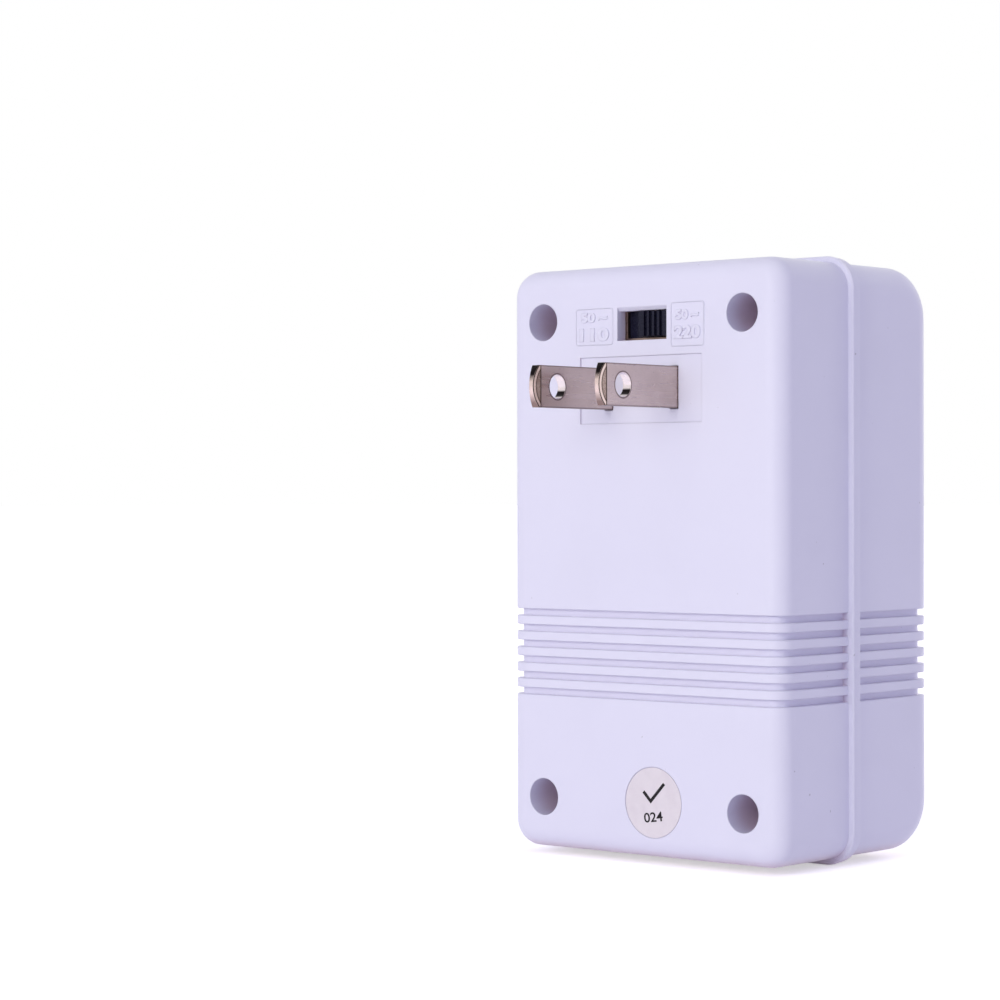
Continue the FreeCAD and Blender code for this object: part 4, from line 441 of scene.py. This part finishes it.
def clear_red(name):
    """Tinted indicator body: deep glossy red, with painted shade towards its rim."""
    recipe = Recipe(name, (190, 2, 12), 0.12, Specular_IOR_Level=0.1, Subsurface_Weight=0.1,
                    Subsurface_Scale=0.0006, Subsurface_Radius=(1.0, 0.05, 0.05))
    recipe.soft_edges(0.1)
    to_front = recipe.facing((0, -1, 0))
    recipe.bump(recipe.noise(0.7, 2.0), 0.004)
    recipe.mottle((140, 0, 12), 1.1, 2.0, 0.5, 0.8, 0.5)
    # Painted shade: darker red where the surface turns away from the front.
    recipe.stain(recipe.ramp(to_front, (0.25, 0.9), (0.75, 0.0)), (96, 0, 8))
    return recipe.material


def banded_resistor(name):
    """Beige body with colour bands round it."""
    recipe = Recipe(name, (205, 178, 132), 0.4)
    low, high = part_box("indicator_resistor")
    middle = (low.y + high.y) / 2
    along = recipe.component(recipe.place, "Y")
    half_width = 0.3
    marks = (
        # millimetres from the body's middle, colour
        (-2.0, (110, 60, 24)),
        (-1.0, (20, 20, 20)),
        (0.0, (196, 40, 28)),
        (1.7, (190, 150, 50)),
    )
    for offset, color in marks:
        inside = recipe.add("ShaderNodeMath", operation="COMPARE")
        inside.inputs[1].default_value = middle + offset * MM
        inside.inputs[2].default_value = half_width * MM
        recipe.link(along, inside.inputs[0])
        recipe.stain(inside.outputs["Value"], color)
    recipe.bump(recipe.noise(0.5, 2.0), 0.01)
    return recipe.material


def laminate_board(name):
    """Brown board with fibres along X."""
    recipe = Recipe(name, (158, 104, 52), 0.5)
    recipe.bump(recipe.noise(0.3, 3.0, (0.3, 1, 1)), 0.008)
    recipe.mottle((116, 70, 30), 1.4, 5.0, 0.42, 0.7, 0.7, (0.2, 1, 1))
    recipe.wear(recipe.noise(0.9, 3.0), 0.42, 0.6)
    return recipe.material


def paper(name):
    """Coated paper with a faint violet tint."""
    recipe = Recipe(name, (226, 219, 227), 0.45)
    recipe.bump(recipe.noise(0.2, 4.0), 0.006)
    recipe.mottle((214, 205, 215), 2.4, 4.0, 0.45, 0.8, 0.6)
    return recipe.material


def ink(name, color):
    """Screen print: matt, a little uneven in its cover."""
    recipe = Recipe(name, color, 0.5, Specular_IOR_Level=0.2)
    recipe.bump(recipe.noise(0.15, 3.0), 0.003)
    recipe.mottle(brighter(color, 24), 0.5, 4.0, 0.55, 0.8, 0.3)
    return recipe.material


def gold_foil(name):
    """Stamped gold, with painted shade where it turns down at its edges."""
    recipe = Recipe(name, GOLD, 0.3, 0.75)
    recipe.soft_edges(0.16)
    to_front = recipe.facing((0, -1, 0))
    recipe.bump(recipe.noise(0.2, 3.0), 0.004)
    recipe.mottle((240, 178, 40), 1.5, 4.0, 0.4, 0.75, 0.7)
    # Painted shade: darker gold where the surface turns away from the front.
    recipe.stain(recipe.ramp(to_front, (0.55, 0.9), (0.96, 0.0)), (146, 88, 8))
    recipe.wear(recipe.noise(0.8, 3.0), 0.22, 0.42)
    return recipe.material


def finish_nodes(housing):
    """Give every CAD piece its material."""
    bobbin = moulded_plastic("bobbin_nylon", (226, 219, 200), 0.42, (170, 160, 140))
    contacts = ("contact_left", "contact_right", "contact_earth", "selector_bridges")
    looks = {
        housing: ("front_cover", "rear_cover", "plug_base"),
        dark_plastic("carrier_plastic", (112, 46, 26), 0.4): ("socket_carrier", "contact_retainer"),
        copper_sheet("contact_copper"): contacts,
        plated_blade("plated_blade"): ("plug_blade_left", "plug_blade_right"),
        zinc_steel("zinc_steel"): ("case_screws", "carrier_screws", "plug_base_screws"),
        zinc_steel("frame_steel", (142, 122, 112)): ("selector_frame",),
        zinc_steel("tinned_lead", (196, 196, 196)): ("selector_terminals", "indicator_leads"),
        dark_plastic("slider_plastic", (20, 20, 40), 0.26, 0.2): ("selector_slider",),
        laminate_board("board_laminate"): ("selector_board",),
        clear_red("indicator_red"): ("indicator_led",),
        banded_resistor("resistor_bands"): ("indicator_resistor",),
        laminations("laminations"): ("core_e_stack", "core_i_stack"),
        bobbin: ("bobbin",),
        winding("common_turns", (186, 96, 48), 0.35): ("common_winding",),
        winding("series_turns", (170, 74, 40), 0.25): ("series_winding",),
        tape("coil_tape"): ("winding_tape",),
        zinc_steel("fuse_can", (206, 206, 204)): ("thermal_fuse",),
        insulation("wire_black", (28, 28, 30)): ("wire_plug_live", "wire_socket_live"),
        insulation("wire_white", (226, 226, 222)): ("wire_plug_neutral", "wire_winding_common"),
        insulation("wire_red", (176, 28, 30)): ("wire_winding_high", "indicator_wires"),
        insulation("wire_yellow", (222, 182, 40)): ("wire_winding_tap",),
        paper("label_paper"): ("round_label",),
    }
    for material, names in looks.items():
        for name in names:
            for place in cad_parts[name].material_slots:
                place.material = material


# Print and relief: each piece is made in the XY plane about its middle, and then stood up.

def finish_piece(piece, material):
    """Dress a piece and let it ride with the housing."""
    piece.data.materials.clear()
    piece.data.materials.append(material)
    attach(piece, "housing")


def place_flat(piece, x, y, z, facing):
    """Stand a piece drawn in the XY plane on the front or the rear face."""
    turn = Matrix.Rotation(math.pi / 2, 4, "X")
    if facing == "rear":
        turn = Matrix.Rotation(math.pi, 4, "Z") @ turn
    piece.data.transform(Matrix.Translation(spot(x, y, z)) @ turn)


def mesh_of(source, name):
    """Turn a text object into a mesh object."""
    graph = bpy.context.evaluated_depsgraph_get()
    mesh = bpy.data.meshes.new_from_object(source.evaluated_get(graph), depsgraph=graph)
    mesh.name = name
    data = source.data
    bpy.data.objects.remove(source)
    bpy.data.curves.remove(data)
    return put_in_scene(name, mesh)


def lettering(name, words, width, height, bold=0.0, thick=PRINT_THICKNESS, tilt=0.0):
    """Numbers of the given overall width and height, centred. Bold widens each stroke."""
    data = bpy.data.curves.new(name, "FONT")
    data.body = words
    data.offset = bold * MM
    data.extrude = thick / 2 * MM
    # A digit is about 0.7 of the font's size high. The fit below sets the exact height.
    data.size = height * MM * 1.4
    data.resolution_u = 6
    source = put_in_scene(name, data)
    bpy.context.view_layer.update()
    piece = mesh_of(source, name)
    xs = [v.co.x for v in piece.data.vertices]
    ys = [v.co.y for v in piece.data.vertices]
    centre = Vector(((min(xs) + max(xs)) / 2, (min(ys) + max(ys)) / 2, 0))
    scale = Vector((width * MM / (max(xs) - min(xs)), height * MM / (max(ys) - min(ys)), 1))
    fit = Matrix.Diagonal(scale.to_4d()) @ Matrix.Translation(-centre)
    piece.data.transform(Matrix.Rotation(math.radians(tilt), 4, "Z") @ fit)
    return piece


def stroke(name, points, width, thick=PRINT_THICKNESS, closed=False):
    """A flat bar of the given width and thickness that follows points."""
    mesh = bmesh.new()
    half = width / 2 * MM
    places = [Vector((x * MM, y * MM)) for x, y in points]
    count = len(places)
    sections = []
    for i, here in enumerate(places):
        before = places[i - 1] if closed or i else here
        after = places[(i + 1) % count] if closed or i < count - 1 else here
        way_in = (here - before).normalized() if here != before else (after - here).normalized()
        way_out = (after - here).normalized() if after != here else way_in
        side = (way_in + way_out).normalized().orthogonal()
        # A mitre reaches further than half the width, but never more than a few times as far.
        reach = half / max(0.3, side.dot(way_in.orthogonal().normalized()))
        side = side.normalized() * abs(reach)
        sections.append([
            mesh.verts.new((here.x + side.x * a, here.y + side.y * a, b * thick / 2 * MM))
            for a, b in ((1, 1), (-1, 1), (-1, -1), (1, -1))
        ])
    pairs = list(zip(sections, sections[1:]))
    if closed:
        pairs.append((sections[-1], sections[0]))
    for first, second in pairs:
        for i in range(4):
            mesh.faces.new((first[i], first[(i + 1) % 4], second[(i + 1) % 4], second[i]))
    if not closed:
        mesh.faces.new(sections[0])
        mesh.faces.new(list(reversed(sections[-1])))
    bmesh.ops.recalc_face_normals(mesh, faces=mesh.faces)
    result = bpy.data.meshes.new(name)
    mesh.to_mesh(result)
    mesh.free()
    return put_in_scene(name, result)


def rounded_frame(width, height, corner):
    """Points round a rectangle with rounded corners."""
    points = []
    steps = 5
    for cx, cy, start in ((1, 1, 0), (-1, 1, 90), (-1, -1, 180), (1, -1, 270)):
        for step in range(steps + 1):
            angle = math.radians(start + 90 * step / steps)
            points.append((
                cx * (width / 2 - corner) + corner * math.cos(angle),
                cy * (height / 2 - corner) + corner * math.sin(angle),
            ))
    return points


def front_print():
    """Numbers and signs in place of the words on the front."""
    navy = ink("navy_ink", NAVY)
    lines = (
        # name, words, middle x, middle z, width, height, bold
        ("print_socket_sign", "~", 0.0, 15.3, 2.3, 0.75, 0.03),
        ("print_socket_numbers", "110 / 220", 0.0, 12.2, 6.6, 1.15, 0.03),
        ("print_voltages", "100  120  220  240", 0.0, 5.37, 31.6, 2.14, 0.03),
        ("print_range", "110-220", 0.0, 0.58, 31.0, 3.6, 0.22),
        ("print_scale", "0 . 25 . 50 . 75 . 100", 0.0, -5.2, 28.8, 2.6, 0.03),
        ("print_rating_upper_left", "~ 200 / 240 . 50 / 60", -12.1, -34.6, 19.4, 1.05, 0.05),
        ("print_rating_lower_left", "~ 100 / 120 . 50 / 60", -12.1, -37.0, 19.4, 1.05, 0.05),
        ("print_rating_upper_right", "~ 100 / 120 . 50 / 60", 12.6, -34.6, 19.8, 1.05, 0.05),
        ("print_rating_lower_right", "~ 200 / 240 . 50 / 60", 12.6, -37.0, 19.8, 1.05, 0.05),
    )
    for name, words, x, z, width, height, bold in lines:
        piece = lettering(name, words, width, height, bold)
        place_flat(piece, x, FRONT_Y - FRONT_PROUD * MM, z, "front")
        finish_piece(piece, navy)


def front_badge():
    """A gold wave between two bars, in the sunk panel."""
    gold = gold_foil("gold_foil")
    middle_z = -27.4
    thick = 0.24
    half_span, swing, steps = 13, 1.75, 120
    wave = [
        (-half_span + 2 * half_span * i / steps, swing * math.sin(i / steps * 6 * math.pi))
        for i in range(steps + 1)
    ]
    parts = (
        stroke("badge_wave", wave, 1.2, thick),
        stroke("badge_rule_left", [(-16.4, 0), (-14.1, 0)], 1.0, thick),
        stroke("badge_rule_right", [(14.1, 0), (16.4, 0)], 1.0, thick),
    )
    for piece in parts:
        place_flat(piece, 0, FRONT_Y + (PANEL_SINK - FRONT_PROUD) * MM, middle_z, "front")
        finish_piece(piece, gold)


def rear_relief(housing):
    """Raised numbers beside the selector, each pair in its thin frame."""
    y = REAR_Y + REAR_PROUD * MM
    panels = (
        # name, number, middle x, middle z, width, height
        ("relief_low", "110", 8.95, 36.1, 7.3, 5.6),
        ("relief_high", "220", -9.2, 35.9, 6.2, 6.6),
    )
    for name, number, x, z, width, height in panels:
        outline = rounded_frame(width, height, 0.4)
        parts = (
            # piece, millimetres above the panel's middle
            (stroke(name + "_frame", outline, 0.16, 0.07, True), 0.0),
            (lettering(name + "_number", number, width * 0.8, 2.1, 0.14, 0.3), -1.2),
            (lettering(name + "_sign", "50 ~", width * 0.72, 1.6, 0.12, 0.3), 1.45),
        )
        for piece, rise in parts:
            place_flat(piece, x, y, z + rise, "rear")
            finish_piece(piece, housing)


def label_print():
    """A tick and a number on the round label."""
    black = ink("black_ink", (30, 26, 30))
    low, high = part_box("round_label")
    x = (low.x + high.x) / 2 / MM
    z = ((low.z + high.z) / 2 - MIDDLE_Z) / MM
    parts = (
        # piece, millimetres above the label's middle
        (stroke("label_tick", [(-1.9, 0.5), (-0.5, -0.9), (2.1, 1.9)], 0.5), 1.1),
        (lettering("label_number", "024", 3.6, 1.5, 0.03, tilt=8), -2.2),
    )
    for piece, rise in parts:
        place_flat(piece, x, high.y + REAR_PROUD * MM, z + rise, "rear")
        finish_piece(piece, black)


# Stage

def camera():
    back = way_to(AZIMUTH, ELEVATION)
    azimuth, roll = math.radians(AZIMUTH), math.radians(ROLL)
    right = Vector((math.cos(azimuth), math.sin(azimuth), 0))
    up = back.cross(right)
    turned_right = right * math.cos(roll) + up * math.sin(roll)
    turned_up = up * math.cos(roll) - right * math.sin(roll)
    aim = spot(0, REAR_Y - BEHIND_LENS_PLANE * MM, 0)
    place = aim + (back * DISTANCE + right * ASIDE + Vector((0, 0, LENS_HEIGHT))) * MM
    data = bpy.data.cameras.new("camera")
    data.sensor_width = SENSOR_WIDTH
    data.sensor_fit = "HORIZONTAL"
    data.lens = FOCAL_LENGTH
    data.clip_start = 0.01
    data.clip_end = 100
    item = put_in_scene("camera", data)
    axes = Matrix((turned_right, turned_up, back)).transposed().to_4x4()
    item.matrix_world = Matrix.Translation(place) @ axes
    bpy.context.scene.camera = item


def soft_lamp(name, azimuth, elevation, distance, size, power, in_gloss):
    """A square soft box that faces the object, and shows in its gloss or not."""
    back = way_to(azimuth, elevation)
    data = bpy.data.lights.new(name, "AREA")
    data.shape = "SQUARE"
    data.size = size
    data.energy = power
    data.color = LAMP_COLOR
    item = put_in_scene(name, data)
    item.location = spot(0, 0, 0) + back * distance
    item.rotation_mode = "QUATERNION"
    item.rotation_quaternion = (-back).to_track_quat("-Z", "Y")
    item.visible_glossy = in_gloss


def seen_directly(nodes):
    """1 for camera, glossy and transmission rays, else 0."""
    rays = nodes.add("ShaderNodeLightPath").outputs
    mirrored = nodes.combine("MAXIMUM", rays["Is Camera Ray"], rays["Is Glossy Ray"])
    return nodes.combine("MAXIMUM", mirrored, rays["Is Transmission Ray"])


def surroundings():
    """White all round for the eye and for reflections, and a milder light on surfaces.

    The light is even round the horizon, and falls off towards the zenith."""
    world = bpy.data.worlds.new("studio")
    world.use_nodes = True
    nodes = Nodes(world.node_tree)
    nodes.tree.nodes.clear()
    height = nodes.component(nodes.add("ShaderNodeTexCoord").outputs["Generated"], "Z")
    level = nodes.ramp(height, (0.0, SKY_LEVEL), (1.0, ZENITH_LEVEL))
    lit = nodes.add("ShaderNodeBackground")
    lit.inputs["Color"].default_value = SKY_COLOR
    nodes.link(level, lit.inputs["Strength"])
    seen = nodes.add("ShaderNodeBackground")
    seen.inputs["Color"].default_value = WHITE
    mix = nodes.add("ShaderNodeMixShader")
    nodes.link(seen_directly(nodes), mix.inputs["Fac"])
    nodes.link(lit.outputs[0], mix.inputs[1])
    nodes.link(seen.outputs[0], mix.inputs[2])
    nodes.link(mix.outputs[0], nodes.add("ShaderNodeOutputWorld").inputs["Surface"])
    bpy.context.scene.world = world


def floor_material():
    """Pale paint with a glow, which grows where the lamps no longer reach."""
    material = bpy.data.materials.new("floor_white")
    material.use_nodes = True
    nodes = Nodes(material.node_tree)
    nodes.tree.nodes.clear()
    paint = nodes.add("ShaderNodeBsdfDiffuse")
    paint.inputs["Color"].default_value = FLOOR_PAINT
    distance = nodes.add("ShaderNodeVectorMath", operation="LENGTH")
    nodes.link(nodes.add("ShaderNodeTexCoord").outputs["Object"], distance.inputs[0])
    level = nodes.ramp(distance.outputs["Value"], FLOOR_GLOW_NEAR, FLOOR_GLOW_FAR)
    glow = nodes.add("ShaderNodeEmission")
    glow.inputs["Color"].default_value = WHITE
    nodes.link(nodes.combine("MULTIPLY", seen_directly(nodes), level), glow.inputs["Strength"])
    total = nodes.add("ShaderNodeAddShader")
    nodes.link(paint.outputs[0], total.inputs[0])
    nodes.link(glow.outputs[0], total.inputs[1])
    nodes.link(total.outputs[0], nodes.add("ShaderNodeOutputMaterial").inputs["Surface"])
    return material


def floor():
    """A wide pale floor that keeps the object's shadow, a hair under the object."""
    mesh = bpy.data.meshes.new("floor")
    shape = bmesh.new()
    bmesh.ops.create_grid(shape, x_segments=24, y_segments=24, size=FLOOR_REACH)
    shape.to_mesh(mesh)
    shape.free()
    mesh.materials.append(floor_material())
    item = put_in_scene("floor", mesh)
    item.location.z = -FLOOR_DROP


camera()
housing_plastic = moulded_plastic("housing_plastic")
finish_nodes(housing_plastic)
front_print()
front_badge()
rear_relief(housing_plastic)
label_print()
floor()
surroundings()
for lamp in LAMPS:
    soft_lamp(*lamp)
bpy.context.scene.view_settings.view_transform = "Standard"
